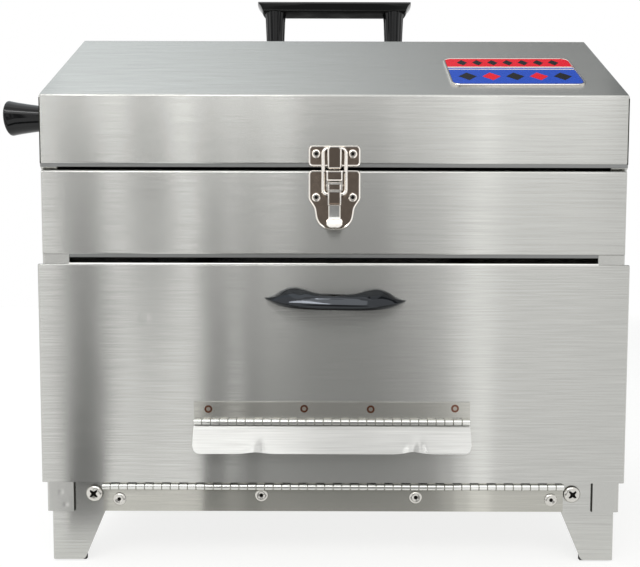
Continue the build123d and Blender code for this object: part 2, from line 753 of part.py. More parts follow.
# Door pull: a bow with two lobes, cut from its outline seen from the front and its bow seen from
# above, fixed by two screws from inside the door
pull_front = Plane(origin=front.origin + Vector(PULL_X, 0, PULL_Z), x_dir=(1, 0, 0), z_dir=front.z_dir)
pull_above = Plane(origin=(MID_X + PULL_X, FRONT_Y + DOOR_FACE, PULL_Z), x_dir=(1, 0, 0), z_dir=(0, 0, -1))
with BuildPart() as door_pull:
    with BuildSketch(pull_front.offset(-DOOR_FACE)):
        with BuildLine():
            crest = Spline(
                (-PULL_HALF_LENGTH, 0),
                (-PULL_LOBE_X, PULL_LOBE_RISE),
                (0, PULL_MIDDLE_RISE),
                (PULL_LOBE_X, PULL_LOBE_RISE),
                (PULL_HALF_LENGTH, 0),
            )
            ThreePointArc(crest @ 1, (0, -PULL_SAG), crest @ 0)
        make_face()
    extrude(amount=PULL_REACH)
    with BuildSketch(pull_above.offset(-PULL_LOBE_RISE)):
        with BuildLine():
            bow = ThreePointArc((-PULL_HALF_LENGTH, 0), (0, PULL_REACH), (PULL_HALF_LENGTH, 0))
            Line(bow @ 1, (PULL_GRIP_HALF, 0))
            ThreePointArc((PULL_GRIP_HALF, 0), (0, PULL_GRIP_REACH), (-PULL_GRIP_HALF, 0))
            Line((-PULL_GRIP_HALF, 0), bow @ 0)
        make_face()
    extrude(amount=2 * PULL_LOBE_RISE, mode=Mode.INTERSECT)
save(door_pull, "door_pull")

with BuildPart() as door_pull_screws:
    with BuildSketch(front.offset(-DOOR_INNER)):
        with Locations((PULL_X - PULL_SCREW_X, PULL_Z), (PULL_X + PULL_SCREW_X, PULL_Z)):
            RegularPolygon(PULL_SCREW_RADIUS, HEAD_SIDES)
    extrude(amount=-PULL_SCREW_HEIGHT)
    chamfer(door_pull_screws.faces().group_by(Axis.Y)[-1].edges(), PULL_SCREW_HEIGHT / 2)
save(door_pull_screws, "door_pull_screws")

# Hood: one sheet folded over front, slopes and top, with flanges turned in along its lower edges,
# closed by an end plate at each side whose folded rim lies under the sheet
END_INSET = SHEET + FIT
HOOD_OUTLINE = (
    (0, HOOD_SHOULDER),
    (RIDGE_RUN, RIDGE_Z),
    (DEPTH - RIDGE_RUN, RIDGE_Z),
    (DEPTH, HOOD_SHOULDER),
)
with BuildPart() as hood_wrap:
    with BuildSketch(section):
        with BuildLine():
            FilletPolyline((0, HOOD_BOTTOM), *HOOD_OUTLINE, (DEPTH, HOOD_BOTTOM), radius=BEND)
            offset(amount=SHEET, side=Side.RIGHT)
        make_face()
    extrude(amount=PANEL_HALF, both=True)
    with BuildSketch(section):
        with Locations((HOOD_FLANGE / 2, HOOD_BOTTOM + SHEET / 2)):
            Rectangle(HOOD_FLANGE, SHEET)
        with Locations((DEPTH - HOOD_FLANGE / 2, HOOD_BOTTOM + SHEET / 2)):
            Rectangle(HOOD_FLANGE, SHEET)
    extrude(amount=HALF - HOOD_FLANGE - SEAM, both=True)
    low_corners = hood_wrap.edges().filter_by(Axis.X).group_by(Axis.Z)[0].sort_by(Axis.Y)
    fillet([low_corners[0], low_corners[-1]], SHEET - FIT)
save(hood_wrap, "hood_wrap")

with BuildPart() as hood_end_right:
    with BuildSketch(section.offset(HALF)):
        with BuildLine():
            Polyline(
                (0, HOOD_SEAT - END_INSET), *HOOD_OUTLINE, (DEPTH, HOOD_SEAT - END_INSET), close=True
            )
        make_face()
        end_outline = offset(amount=-END_INSET, kind=Kind.INTERSECTION, mode=Mode.REPLACE)
        fillet(end_outline.vertices().group_by(Axis.Y)[0], END_CORNER)
    extrude(amount=-HOOD_FLANGE)
    offset(amount=-SHEET, openings=hood_end_right.faces().sort_by(Axis.X)[0])
save(hood_end_right, "hood_end_right")

with BuildPart() as hood_end_left:
    mirror(hood_end_right.part, about=mid_plane)
save(hood_end_left, "hood_end_left")

# Carry handle: moulded bar on two flared posts, screwed through the hood's top from inside
post_places = ((-HANDLE_POST_X, MIDDLE), (HANDLE_POST_X, MIDDLE))
bar_underside = Plane(origin=level.origin + Vector(0, MIDDLE, RIDGE_Z + HANDLE_CLEARANCE))
half_length = HANDLE_LENGTH / 2
half_width = HANDLE_WIDTH / 2 + FIT
with BuildPart() as carry_handle:
    with BuildSketch(section):
        with Locations((MIDDLE, RIDGE_Z + HANDLE_CLEARANCE + HANDLE_BAR / 2)):
            bar_section = Rectangle(HANDLE_WIDTH, HANDLE_BAR)
        fillet(bar_section.vertices().group_by(Axis.Y)[-1], HANDLE_CROWN)
    extrude(amount=HANDLE_LENGTH / 2, both=True)
    for end in (-1, 1):
        with BuildSketch(bar_underside):
            with BuildLine():
                bowed_end = ThreePointArc(
                    (end * (half_length - HANDLE_END_BOW), half_width),
                    (end * half_length, 0),
                    (end * (half_length - HANDLE_END_BOW), -half_width),
                )
                Polyline(
                    bowed_end @ 1,
                    (end * (half_length + HANDLE_END_BOW), -half_width),
                    (end * (half_length + HANDLE_END_BOW), half_width),
                    bowed_end @ 0,
                )
            make_face()
        extrude(amount=HANDLE_BAR, mode=Mode.SUBTRACT)
    with BuildSketch(level.offset(RIDGE_Z)):
        with Locations(*post_places):
            RegularPolygon(POST_TOP_RADIUS, POST_SIDES)
    extrude(amount=HANDLE_CLEARANCE)
    for post in (0, 1):
        foot = carry_handle.faces().group_by(Axis.Z)[0].sort_by(Axis.X)[post]
        flare = POST_TOP_RADIUS - POST_FOOT_RADIUS
        chamfer(foot.edges(), flare, HANDLE_CLEARANCE - FIT, reference=foot)
save(carry_handle, "carry_handle")

with BuildPart() as carry_handle_screws:
    with BuildSketch(level.offset(RIDGE_Z - SHEET)):
        with Locations(*post_places):
            RegularPolygon(INNER_SCREW_RADIUS, HEAD_SIDES)
    extrude(amount=-INNER_SCREW_HEIGHT)
    chamfer(carry_handle_screws.faces().group_by(Axis.Z)[0].edges(), INNER_SCREW_HEIGHT / 2)
save(carry_handle_screws, "carry_handle_screws")

# Side knob: flares from its neck at the hood's left end to a rim with a bevelled face
KNOB_Z = HOOD_SHOULDER - KNOB_DROP
knob_seat = Plane(origin=(MID_X - HALF, FRONT_Y + KNOB_Y, KNOB_Z), z_dir=(-1, 0, 0))
with BuildPart() as side_knob:
    with BuildSketch(knob_seat):
        RegularPolygon(KNOB_RIM_RADIUS, KNOB_SIDES)
    extrude(amount=KNOB_LENGTH)
    neck = side_knob.faces().sort_by(Axis.X)[-1]
    knob_flare = KNOB_RIM_RADIUS - KNOB_NECK_RADIUS
    chamfer(neck.edges(), knob_flare, KNOB_LENGTH - KNOB_DOME, reference=neck)
    rim = side_knob.faces().sort_by(Axis.X)[0]
    chamfer(rim.edges(), KNOB_RIM_RADIUS / 2, KNOB_DOME - FIT, reference=rim)
save(side_knob, "side_knob")

with BuildPart() as side_knob_screw:
    with BuildSketch(Plane(origin=knob_seat.origin, z_dir=(1, 0, 0)).offset(SHEET)):
        RegularPolygon(INNER_SCREW_RADIUS, HEAD_SIDES)
    extrude(amount=INNER_SCREW_HEIGHT)
    chamfer(side_knob_screw.faces().sort_by(Axis.X)[-1].edges(), INNER_SCREW_HEIGHT / 2)
save(side_knob_screw, "side_knob_screw")

# Badge: a plate with a raised rim on the hood's front slope
badge_place = Location((HALF - BADGE_INSET, BADGE_UP_SLOPE, 0), (0, 0, BADGE_TILT))
with BuildPart() as badge_plate:
    with BuildSketch(slope):
        with Locations(badge_place):
            RectangleRounded(BADGE_WIDTH, BADGE_HEIGHT, BADGE_CORNER)
    extrude(amount=BADGE_THICKNESS)
    with BuildSketch(slope.offset(BADGE_THICKNESS)):
        with Locations(badge_place):
            RectangleRounded(
                BADGE_WIDTH - 2 * BADGE_RIM, BADGE_HEIGHT - 2 * BADGE_RIM, BADGE_CORNER - BADGE_RIM
            )
    extrude(amount=-BADGE_RECESS, mode=Mode.SUBTRACT)
save(badge_plate, "badge_plate")

# Latch keeper on the hood: a plate whose tongue folds up in front of it, open at the top
latch_front = Plane(origin=front.origin + Vector(LATCH_X, 0, 0), x_dir=(1, 0, 0), z_dir=front.z_dir)
latch_section = section.offset(LATCH_X)
with BuildPart() as latch_tongue:
    with BuildSketch(latch_section):
        with BuildLine():
            Polyline(
                (-LATCH_PLATE, KEEPER_BOTTOM),
                (-LATCH_PLATE - TONGUE_SHEET, KEEPER_BOTTOM),
                (-LATCH_PLATE - TONGUE_SHEET - TONGUE_MOUTH, TONGUE_TOP),
                (-LATCH_PLATE - TONGUE_MOUTH, TONGUE_TOP),
                (-LATCH_PLATE, KEEPER_BOTTOM + TONGUE_SHEET / 2),
                close=True,
            )
        make_face()
    extrude(amount=TONGUE_WIDTH / 2, both=True)
    with BuildSketch(latch_front):
        with Locations((0, (TONGUE_TOP + KEEPER_BOTTOM) / 2)):
            tongue_outline = Rectangle(TONGUE_WIDTH, TONGUE_TOP - KEEPER_BOTTOM)
        fillet(tongue_outline.vertices().group_by(Axis.Y)[-1], TONGUE_CORNER)
    extrude(amount=2 * TONGUE_MOUTH, mode=Mode.INTERSECT)

with BuildPart() as latch_keeper:
    with BuildSketch(latch_front):
        with Locations((0, KEEPER_BOTTOM + KEEPER_HEIGHT / 2)):
            RectangleRounded(KEEPER_WIDTH, KEEPER_HEIGHT, KEEPER_CORNER)
    extrude(amount=LATCH_PLATE)
    add(latch_tongue.part)
save(latch_keeper, "latch_keeper")

keeper_rivets = rivets(
    latch_front.offset(LATCH_PLATE),
    ((-LATCH_RIVET_X, KEEPER_RIVET_Z), (LATCH_RIVET_X, KEEPER_RIVET_Z)),
    LATCH_RIVET_RADIUS,
    LATCH_RIVET_HEIGHT,
    LATCH_RIVET_HOLE,
    LATCH_PLATE + SHEET,
)
save(keeper_rivets, "latch_keeper_rivets")

# Latch base on the upper front panel: a tapering plate with a bridge whose two ears carry the pivot
with BuildPart() as latch_base:
    with BuildSketch(latch_front):
        with BuildLine():
            FilletPolyline(
                (-BASE_WIDTH / 2, BASE_TOP),
                (BASE_WIDTH / 2, BASE_TOP),
                (BASE_WIDTH / 2, BASE_SHOULDER),
                (BASE_KNEE_X, BASE_KNEE_Z),
                (BASE_TIP_X, BASE_BOTTOM),
                (-BASE_TIP_X, BASE_BOTTOM),
                (-BASE_KNEE_X, BASE_KNEE_Z),
                (-BASE_WIDTH / 2, BASE_SHOULDER),
                radius=(
                    KEEPER_CORNER,
                    KEEPER_CORNER,
                    BASE_SHOULDER_RADIUS,
                    BASE_KNEE_RADIUS,
                    BASE_TIP_RADIUS,
                    BASE_TIP_RADIUS,
                    BASE_KNEE_RADIUS,
                    BASE_SHOULDER_RADIUS,
                ),
                close=True,
            )
        make_face()
    extrude(amount=LATCH_PLATE)
    with BuildSketch(latch_front.offset(LATCH_PLATE)):
        with Locations((0, (BRACKET_TOP + BRACKET_BOTTOM) / 2)):
            Rectangle(2 * BRACKET_HALF, BRACKET_TOP - BRACKET_BOTTOM)
    extrude(amount=BRACKET_FRONT - LATCH_PLATE)
    fillet(latch_base.edges().filter_by(Axis.X).group_by(Axis.Y)[0], BRACKET_CORNER)
    with BuildSketch(latch_front.offset(LATCH_PLATE)):
        with Locations((0, (BRACKET_TOP + BRACKET_BOTTOM) / 2 - BRACKET_WALL)):
            Rectangle(2 * (BRACKET_HALF - BRACKET_WALL), BRACKET_TOP - BRACKET_BOTTOM)
    extrude(amount=BRACKET_FRONT - LATCH_PLATE - BRACKET_WALL, mode=Mode.SUBTRACT)
    with BuildSketch(latch_front.offset(LATCH_PLATE)):
        with Locations((0, BRACKET_BOTTOM)):
            Rectangle(
                2 * (BRACKET_HALF - BRACKET_WALL), 2 * (BRACKET_WEB_BOTTOM - BRACKET_BOTTOM)
            )
    extrude(amount=BRACKET_FRONT, mode=Mode.SUBTRACT)
save(latch_base, "latch_base")

base_rivets = rivets(
    latch_front.offset(LATCH_PLATE),
    ((-LATCH_RIVET_X, BASE_RIVET_Z), (LATCH_RIVET_X, BASE_RIVET_Z)),
    LATCH_RIVET_RADIUS,
    LATCH_RIVET_HEIGHT,
    LATCH_RIVET_HOLE,
    LATCH_PLATE + SHEET,
)
save(base_rivets, "latch_base_rivets")

with BuildPart() as latch_pivot_pin:
    with BuildSketch(latch_section):
        with Locations((-PIVOT_STANDOFF, PIVOT_Z)):
            RegularPolygon(PIVOT_RADIUS, PIN_SIDES)
    extrude(amount=PIVOT_HALF_LENGTH, both=True)
save(latch_pivot_pin, "latch_pivot_pin")

# Latch lever: a channel on the pivot that dips towards the plate and turns out into a thumb tab
BAIL_Y = -PIVOT_STANDOFF + BAIL_OVER_CENTRE
BAIL_Z = PIVOT_Z - BAIL_DROP
with BuildPart() as latch_lever:
    with BuildSketch(latch_section):
        with BuildLine():
            Polyline(*LEVER_FACE)
            offset(amount=LEVER_SHEET, side=Side.LEFT)
        make_face()
    extrude(amount=LEVER_HALF, both=True)
    with BuildSketch(latch_section):
        with BuildLine():
            Polyline(*LEVER_FACE[-2:])
            offset(amount=LEVER_SHEET, side=Side.LEFT)
        make_face()
    extrude(amount=TAB_HALF, both=True)
    for wall_x in (-LEVER_HALF, LEVER_HALF - LEVER_WALL):
        with BuildSketch(latch_section.offset(wall_x)):
            with BuildLine():
                Polyline(*LEVER_CHEEK, close=True)
            make_face()
            with Locations((-PIVOT_STANDOFF, PIVOT_Z)):
                RegularPolygon(
                    PIVOT_RADIUS + BORE_CLEARANCE, PIN_SIDES, major_radius=False, mode=Mode.SUBTRACT
                )
            with Locations((BAIL_Y, BAIL_Z)):
                RegularPolygon(
                    BAIL_WIRE + BORE_CLEARANCE, BAIL_SIDES, major_radius=False, mode=Mode.SUBTRACT
                )
        extrude(amount=LEVER_WALL)
save(latch_lever, "latch_lever")

# Latch bail: a wire loop from the lever up to the keeper, its ends turned in through the cheeks and
# each of its corners bent in two steps
bail_lean = BAIL_TOP_STANDOFF + BAIL_Y
bail_rise = BAIL_TOP_Z - BAIL_Z
BAIL_LENGTH = (bail_lean**2 + bail_rise**2) ** 0.5
bail_plane = Plane(
    origin=(MID_X + LATCH_X, FRONT_Y + BAIL_Y, BAIL_Z),
    x_dir=(1, 0, 0),
    z_dir=(0, -bail_rise, -bail_lean),
)
half_bend = BAIL_CORNER * (1 - sqrt(0.5))
bail_half = (
    (BAIL_END_X, 0),
    (BAIL_HALF - BAIL_CORNER, 0),
    (BAIL_HALF - half_bend, half_bend),
    (BAIL_HALF, BAIL_CORNER),
    (BAIL_HALF, BAIL_LENGTH - BAIL_CORNER),
    (BAIL_HALF - half_bend, BAIL_LENGTH - half_bend),
    (BAIL_HALF - BAIL_CORNER, BAIL_LENGTH),
)
with BuildPart() as latch_bail:
    with BuildLine(bail_plane) as bail_path:
        Polyline(*bail_half, *[(-x, y) for x, y in reversed(bail_half)])
    with BuildSketch(Plane(origin=bail_path.line @ 0, x_dir=bail_plane.z_dir, z_dir=bail_path.line % 0)):
        RegularPolygon(BAIL_WIRE, BAIL_SIDES)
    sweep(transition=Transition.RIGHT)
save(latch_bail, "latch_bail")

# Ash pan: an open tray on the floor
with BuildPart() as ash_pan:
    with BuildSketch(level.offset(FLOOR_TOP)):
        with Locations((0, MIDDLE)):
            Rectangle(2 * (HALF - SHEET - ASH_PAN_SIDE_GAP), DEPTH - 2 * ASH_PAN_END_GAP)
    extrude(amount=ASH_PAN_HEIGHT, taper=-PAN_FLARE)
    offset(amount=-SHEET, openings=ash_pan.faces().sort_by(Axis.Z)[-1])
save(ash_pan, "ash_pan")


def grate_rests(grate_z):
    """A pair of angles on the side panels that carry a grate at this height."""
    with BuildPart() as rests:
        with BuildSketch(front.offset(-MIDDLE)):
            for wall in (-1, 1):
                with Locations((wall * (HALF - SHEET - REST_SIZE / 2), grate_z - SHEET / 2)):
                    Rectangle(REST_SIZE, SHEET)
                with Locations((wall * (HALF - SHEET * 1.5), grate_z - REST_SIZE / 2)):
                    Rectangle(SHEET, REST_SIZE)
        extrude(amount=MIDDLE - REST_END_GAP, both=True)
    return rests


def grate(grate_z, wire_count):
    """Wires from side to side welded on top of bars that run front to back on the rests."""
    bar_span = 2 * (HALF - SHEET - GRATE_BAR_INSET)
    wire_reach = HALF - SHEET - GRATE_END_GAP
    wire_span = DEPTH - 2 * GRATE_FACE_GAP
    facet = 90 - 180 / GRATE_SIDES
    with BuildPart() as welded:
        with BuildSketch(front.offset(-MIDDLE)):
            with Locations((0, grate_z + GRATE_BAR)):
                with GridLocations(bar_span / (GRATE_BAR_COUNT - 1), 1, GRATE_BAR_COUNT, 1):
                    RegularPolygon(GRATE_BAR, GRATE_SIDES, major_radius=False, rotation=facet)
        extrude(amount=wire_span / 2 + GRATE_BAR, both=True)
        with BuildSketch(section):
            with Locations((MIDDLE, grate_z + 2 * GRATE_BAR + GRATE_WIRE - GRATE_WELD)):
                with GridLocations(wire_span / (wire_count - 1), 1, wire_count, 1):
                    RegularPolygon(GRATE_WIRE, GRATE_SIDES, major_radius=False, rotation=facet)
        extrude(amount=wire_reach, both=True)
    return welded


# Grates: one for the charcoal, one for the food, each on its own pair of rests
save(grate_rests(CHARCOAL_GRATE_Z), "charcoal_grate_rests")
save(grate_rests(COOKING_GRATE_Z), "cooking_grate_rests")
save(grate(CHARCOAL_GRATE_Z, CHARCOAL_WIRE_COUNT), "charcoal_grate")
save(grate(COOKING_GRATE_Z, COOKING_WIRE_COUNT), "cooking_grate")
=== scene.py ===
import math

import bmesh
import bpy
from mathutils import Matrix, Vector


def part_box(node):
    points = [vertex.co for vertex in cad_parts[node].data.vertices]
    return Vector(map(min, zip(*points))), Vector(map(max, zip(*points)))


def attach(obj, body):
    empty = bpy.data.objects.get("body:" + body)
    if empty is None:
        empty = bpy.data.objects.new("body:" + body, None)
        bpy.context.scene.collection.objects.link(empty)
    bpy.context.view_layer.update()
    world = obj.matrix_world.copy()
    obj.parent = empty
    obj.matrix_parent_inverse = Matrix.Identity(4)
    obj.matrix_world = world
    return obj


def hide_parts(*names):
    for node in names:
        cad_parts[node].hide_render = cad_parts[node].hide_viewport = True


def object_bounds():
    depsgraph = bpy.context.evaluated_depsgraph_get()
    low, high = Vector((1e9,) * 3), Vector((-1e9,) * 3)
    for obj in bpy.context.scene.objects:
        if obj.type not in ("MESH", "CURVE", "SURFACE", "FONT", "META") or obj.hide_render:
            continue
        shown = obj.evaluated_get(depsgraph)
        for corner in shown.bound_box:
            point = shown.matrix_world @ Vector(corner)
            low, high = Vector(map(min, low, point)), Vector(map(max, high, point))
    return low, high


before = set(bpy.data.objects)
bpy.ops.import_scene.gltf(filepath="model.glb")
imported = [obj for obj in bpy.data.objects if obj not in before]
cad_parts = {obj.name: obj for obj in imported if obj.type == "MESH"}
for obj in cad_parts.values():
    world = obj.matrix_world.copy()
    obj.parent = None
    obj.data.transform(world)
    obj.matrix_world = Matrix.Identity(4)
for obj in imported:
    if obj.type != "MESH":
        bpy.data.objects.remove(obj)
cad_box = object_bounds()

# The look of a portable charcoal grill in brushed stainless sheet. Sizes below are in millimetres,
# measured as the grill is: across from its mid-plane, in from its front face, up from the table.
MM = 0.001
# Where the mid-plane and the front face are in the frame, whose origin is under the middle of the
# whole grill, with its side knob and its pull
MID_X = 17.05
FRONT_Y = -167.7
HALF = 213.5
DEPTH = 343.0
SHEET = 1.2
PANEL_BOTTOM = 229.0
HOOD_BOTTOM = 294.3
SHOULDER = 343.6
ROOF = 414.6
DOOR_FACE = -1.1


def spot(across, depth, up):
    """A place on the grill as a point in metres."""
    return Vector((MID_X + across, FRONT_Y + depth, up)) * MM


def colour(code):
    """An sRGB hex colour as linear red, green, blue and full alpha."""
    channels = [int(code[i:i + 2], 16) / 255 for i in (1, 3, 5)]
    linear = [c / 12.92 if c <= 0.04045 else ((c + 0.055) / 1.055) ** 2.4 for c in channels]
    return (*linear, 1.0)


def node(tree, kind, settings=(), inputs=(), links=()):
    """Add a shader node, set its attributes and input values, and link sources to its inputs."""
    made = tree.nodes.new(kind)
    for name, value in dict(settings).items():
        setattr(made, name, value)
    for key, value in dict(inputs).items():
        made.inputs[key].default_value = value
    for key, source in dict(links).items():
        tree.links.new(source, made.inputs[key])
    return made.outputs


def blank(name):
    """A new material and its empty node tree."""
    material = bpy.data.materials.new(name)
    material.use_nodes = True
    material.node_tree.nodes.clear()
    return material, material.node_tree


def placed(name, data):
    """A new object in the scene."""
    made = bpy.data.objects.new(name, data)
    bpy.context.scene.collection.objects.link(made)
    return made


def finish(name, base, metallic, roughness, **extra):
    """A new material with one Principled surface: returns the material, its tree and the surface."""
    material, tree = blank(name)
    out = node(tree, "ShaderNodeBsdfPrincipled", inputs={
        "Base Color": colour(base), "Metallic": metallic, "Roughness": roughness, **extra})
    node(tree, "ShaderNodeOutputMaterial", links={"Surface": out["BSDF"]})
    return material, tree, out["BSDF"].node


def mottle(tree, size, low, high, detail=3.0):
    """Noise of a size in millimetres along X, Y and Z, spread between a low and a high value."""
    place = node(tree, "ShaderNodeTexCoord")
    scale = tuple(1 / (s * MM) for s in size)
    stretched = node(tree, "ShaderNodeMapping", inputs={"Scale": scale},
                     links={"Vector": place["Object"]})
    cloud = node(tree, "ShaderNodeTexNoise", inputs={"Scale": 1.0, "Detail": detail},
                 links={"Vector": stretched["Vector"]})
    spread = node(tree, "ShaderNodeMapRange",
                  inputs={"From Min": 0.25, "From Max": 0.75, "To Min": low, "To Max": high},
                  links={"Value": cloud["Fac"]})
    return spread["Result"]


def near(tree, centre, reach, inside, outside=0.0, start=0.0):
    """A value that goes smoothly from inside, at start millimetres from a place, to outside at reach."""
    place = node(tree, "ShaderNodeTexCoord")
    away = node(tree, "ShaderNodeVectorMath", {"operation": "DISTANCE"}, {1: centre},
                {0: place["Object"]})
    fade = node(tree, "ShaderNodeMapRange", {"interpolation_type": "SMOOTHSTEP"},
                {"From Min": start * MM, "From Max": reach * MM, "To Min": inside, "To Max": outside},
                {"Value": away["Value"]})
    return fade["Result"]


# The Mix node's colour sockets: the two it mixes, and the result
FIRST, SECOND, MIXED = 6, 7, 2


def tinted(tree, base, tint, amount):
    """A base colour (or colour socket) mixed towards a tint by an amount from 0 to 1."""
    mix = node(tree, "ShaderNodeMix", {"data_type": "RGBA"}, {SECOND: colour(tint)}, {0: amount})[MIXED]
    if isinstance(base, str):
        mix.node.inputs[FIRST].default_value = colour(base)
    else:
        tree.links.new(base, mix.node.inputs[FIRST])
    return mix


# Grain lines 42 mm long, drawn 0.7 mm apart: a real no. 4 finish is finer, too fine to show here
GRAIN_PITCH = 0.7
GRAIN_RUN = 42.0
GRAIN_CONTRAST = 0.26
GRAIN_RUB = 0.03
SCRATCH_DEPTH = 0.004
SCRATCH_STRENGTH = 0.15
WAVE_SIZE = (70.0, 70.0, 110.0)
WAVE_HEIGHT = 0.14
SHEET_COLOUR = "#C8C8C4"
GRAIN_COLOUR = "#7F7F7B"
BURN_COLOUR = "#6E3F27"
# A burn's ring comes in over the first pair of radii and goes over the second
RING_IN, RING_OUT = (1.2, 2.0), (2.5, 3.2)
# The direction square to the grain, for each axis that it can run along
ACROSS_GRAIN = {"X": (0.0, 0.7, 0.714), "Y": (0.714, 0.0, 0.7)}


def brushed_stainless(name, grain, base=SHEET_COLOUR, roughness=0.22, dents=(), burns=()):
    """Stainless sheet, no. 4 brushed along one axis: fine lines along the grain, reflections drawn out
    across it, and a slight waviness that bends them. Dents are spot welds seen from the far side;
    burns are the brown rings that a weld leaves on the near side."""
    material, tree, surface = finish(name, base, 1.0, roughness, Anisotropic=1.0)
    size = [GRAIN_RUN if axis == grain else GRAIN_PITCH for axis in "XYZ"]
    lines = mottle(tree, size, 0.0, 1.0, detail=2.0)
    shade = node(tree, "ShaderNodeMapRange", inputs={"To Min": 0.0, "To Max": GRAIN_CONTRAST},
                 links={"Value": lines})
    paint = tinted(tree, base, GRAIN_COLOUR, shade["Result"])
    for centre in burns:
        ring = node(tree, "ShaderNodeMath", {"operation": "MULTIPLY"},
                    links={0: near(tree, centre, RING_OUT[1], 1.0, 0.0, RING_OUT[0]),
                           1: near(tree, centre, RING_IN[1], 0.25, 1.0, RING_IN[0])})
        paint = tinted(tree, paint, BURN_COLOUR, ring["Value"])
    tree.links.new(paint, surface.inputs["Base Color"])
    rub = node(tree, "ShaderNodeMapRange",
               inputs={"To Min": roughness - GRAIN_RUB, "To Max": roughness + GRAIN_RUB},
               links={"Value": lines})
    tree.links.new(rub["Result"], surface.inputs["Roughness"])
    height = mottle(tree, WAVE_SIZE, 0.0, 1.0, detail=1.0)
    for centre, reach, depth in dents:
        total = node(tree, "ShaderNodeMath", {"operation": "ADD"},
                     links={0: height, 1: near(tree, centre, reach, -depth)})
        height = total["Value"]
    waviness = node(tree, "ShaderNodeBump", inputs={"Strength": 1.0, "Distance": WAVE_HEIGHT * MM},
                    links={"Height": height})
    scratch = node(tree, "ShaderNodeBump",
                   inputs={"Strength": SCRATCH_STRENGTH, "Distance": SCRATCH_DEPTH * MM},
                   links={"Height": lines, "Normal": waviness["Normal"]})
    tree.links.new(scratch["Normal"], surface.inputs["Normal"])
    tangent = node(tree, "ShaderNodeCombineXYZ", inputs=dict(zip("XYZ", ACROSS_GRAIN[grain])))
    tree.links.new(tangent["Vector"], surface.inputs["Tangent"])
    return material


def plated(name, base, roughness, wear=0.05, scale=6.0):
    """Electroplated steel: a clean mirror-like metal with faint clouding from handling."""
    material, tree, surface = finish(name, base, 1.0, roughness)
    cloud = mottle(tree, (scale,) * 3, max(0.02, roughness - wear), roughness + wear)
    tree.links.new(cloud, surface.inputs["Roughness"])
    return material


def moulded(name, base, roughness, haze, gloss):
    """Moulded black: phenolic polished to a hard gloss, or matt rubber. Haze is the spread of its
    roughness, and gloss its reflection straight on."""
    material, tree, surface = finish(name, base, 0.0, roughness, **{"Specular IOR Level": gloss})
    skin = mottle(tree, (2.2, 2.2, 2.2), 0.0, 1.0)
    ripple = node(tree, "ShaderNodeBump", inputs={"Strength": 0.3, "Distance": 0.004 * MM},
                  links={"Height": skin})
    tree.links.new(ripple["Normal"], surface.inputs["Normal"])
    cloud = mottle(tree, (14.0, 14.0, 14.0), roughness - haze, roughness + haze)
    tree.links.new(cloud, surface.inputs["Roughness"])
    return material


def enamel(name, base):
    """Soft enamel poured into a badge: a flat, strong colour under a clear gloss."""
    material, tree, surface = finish(name, base, 0.0, 0.25, **{"Specular IOR Level": 0.12})
    cloud = mottle(tree, (5.0, 5.0, 5.0), 0.2, 0.32)
    tree.links.new(cloud, surface.inputs["Roughness"])
    return material


# Weld marks on the door, the flap's strip and the front returns; dents have a reach and a depth too
DOOR_DENTS = [(spot(x, 0.0, z), 6.0, 0.4) for x, z in
              ((-138.0, 182.0), (-136.0, 155.0), (146.0, 184.0), (146.0, 158.0))]
LEAF_WELDS = [spot(x, DOOR_FACE - 1.0, z) for x, z in
              ((-92.0, 115.6), (-21.5, 116.0), (27.5, 115.7), (89.5, 116.4))]
RETURN_WELDS = [(spot(x, SHEET, z), 2.8, 1.6) for x, z in
                ((-203.0, 52.5), (-199.5, 43.0), (199.5, 55.5), (199.0, 43.5))]
# Most of the sheet: silver-grey, fine level lines, soft upright streaks of light
stainless = brushed_stainless("stainless_brushed_along", "X")
# The same on the door, with four small dimples where the frame is welded on behind
stainless_door = brushed_stainless("stainless_brushed_door", "X", dents=DOOR_DENTS)
# The ends and returns: lines run front to back, and weld marks pucker the front edge
stainless_side = brushed_stainless("stainless_brushed_side", "Y", dents=RETURN_WELDS)
# Hinge strips: the sheet a shade warmer and darker
stainless_strip = brushed_stainless("stainless_hinge_strip", "X", base="#BDBCB4")
# The flap's strip: the same shade, with four brown weld rings
stainless_leaf = brushed_stainless("stainless_flap_strip", "X", base="#BDBCB5", burns=LEAF_WELDS)
# The flap: near white, because it leans back to the light and its colour is set lighter than the sheet's as
# a painted highlight; duller than the sheet
stainless_flap = brushed_stainless("stainless_flap_plain", "X", base="#D2D2CF", roughness=0.33)
# Rolled knuckles: small bright barrels with a light line along each, their metal set lighter than the
# sheet's as a painted highlight
highlight_steel = plated("stainless_painted_highlight", "#DADAD6", 0.16, scale=3.0)
# The latch's sunk faces: brown-grey nickel, made darker than the rims as painted shade in the hollows
shaded_nickel = plated("nickel_painted_shade", "#8F8175", 0.14, scale=3.0)
# The latch's raised rims, wire and rivets: nickel painted nearly white as a painted highlight
highlight_nickel = plated("nickel_painted_highlight", "#F6F1EA", 0.16, scale=3.0)
# The door pull: almost black with one sharp white streak
pull_nickel = plated("black_nickel_pull", "#3C3E41", 0.06, wear=0.02)
# Hemmed edges: the sheet made mid-grey and dull, painted shade for the underside of each bend
hem_shade_steel = plated("stainless_hem_painted_shade", "#8C8D8C", 0.35)
# A thin dark strip of painted shadow along the edge at a folded corner
edge_shadow = plated("stainless_painted_edge_shadow", "#34342F", 0.5)
# Screws and rivets: bright zinc with a broad soft light on the dome
zinc = plated("zinc_plated_bright", "#D2D0CA", 0.18, scale=3.0)
# Painted shade, nearly black: the bottom of a screw's cross, a rivet's bore and the band round each head's
# foot
recess_shade = plated("zinc_in_the_recess", "#1E1D1B", 0.4)
# Grate wire: chromed, dark and light lines along each bar
chrome_wire = plated("chromed_wire", "#C4C4C4", 0.14)
# The ash pan: dull grey zinc with cloudy patches
galvanised = plated("galvanised_pan_sheet", "#A4A5A3", 0.42, wear=0.12, scale=9.0)
# Handle and knob: black with hard light reflections
phenolic = moulded("phenolic_black_gloss", "#040506", 0.07, 0.02, 0.35)
# The handle's underside as it left the mould: dull brown-black
phenolic_inside = moulded("phenolic_moulded_inside", "#0D0C0B", 0.6, 0.1, 0.1)
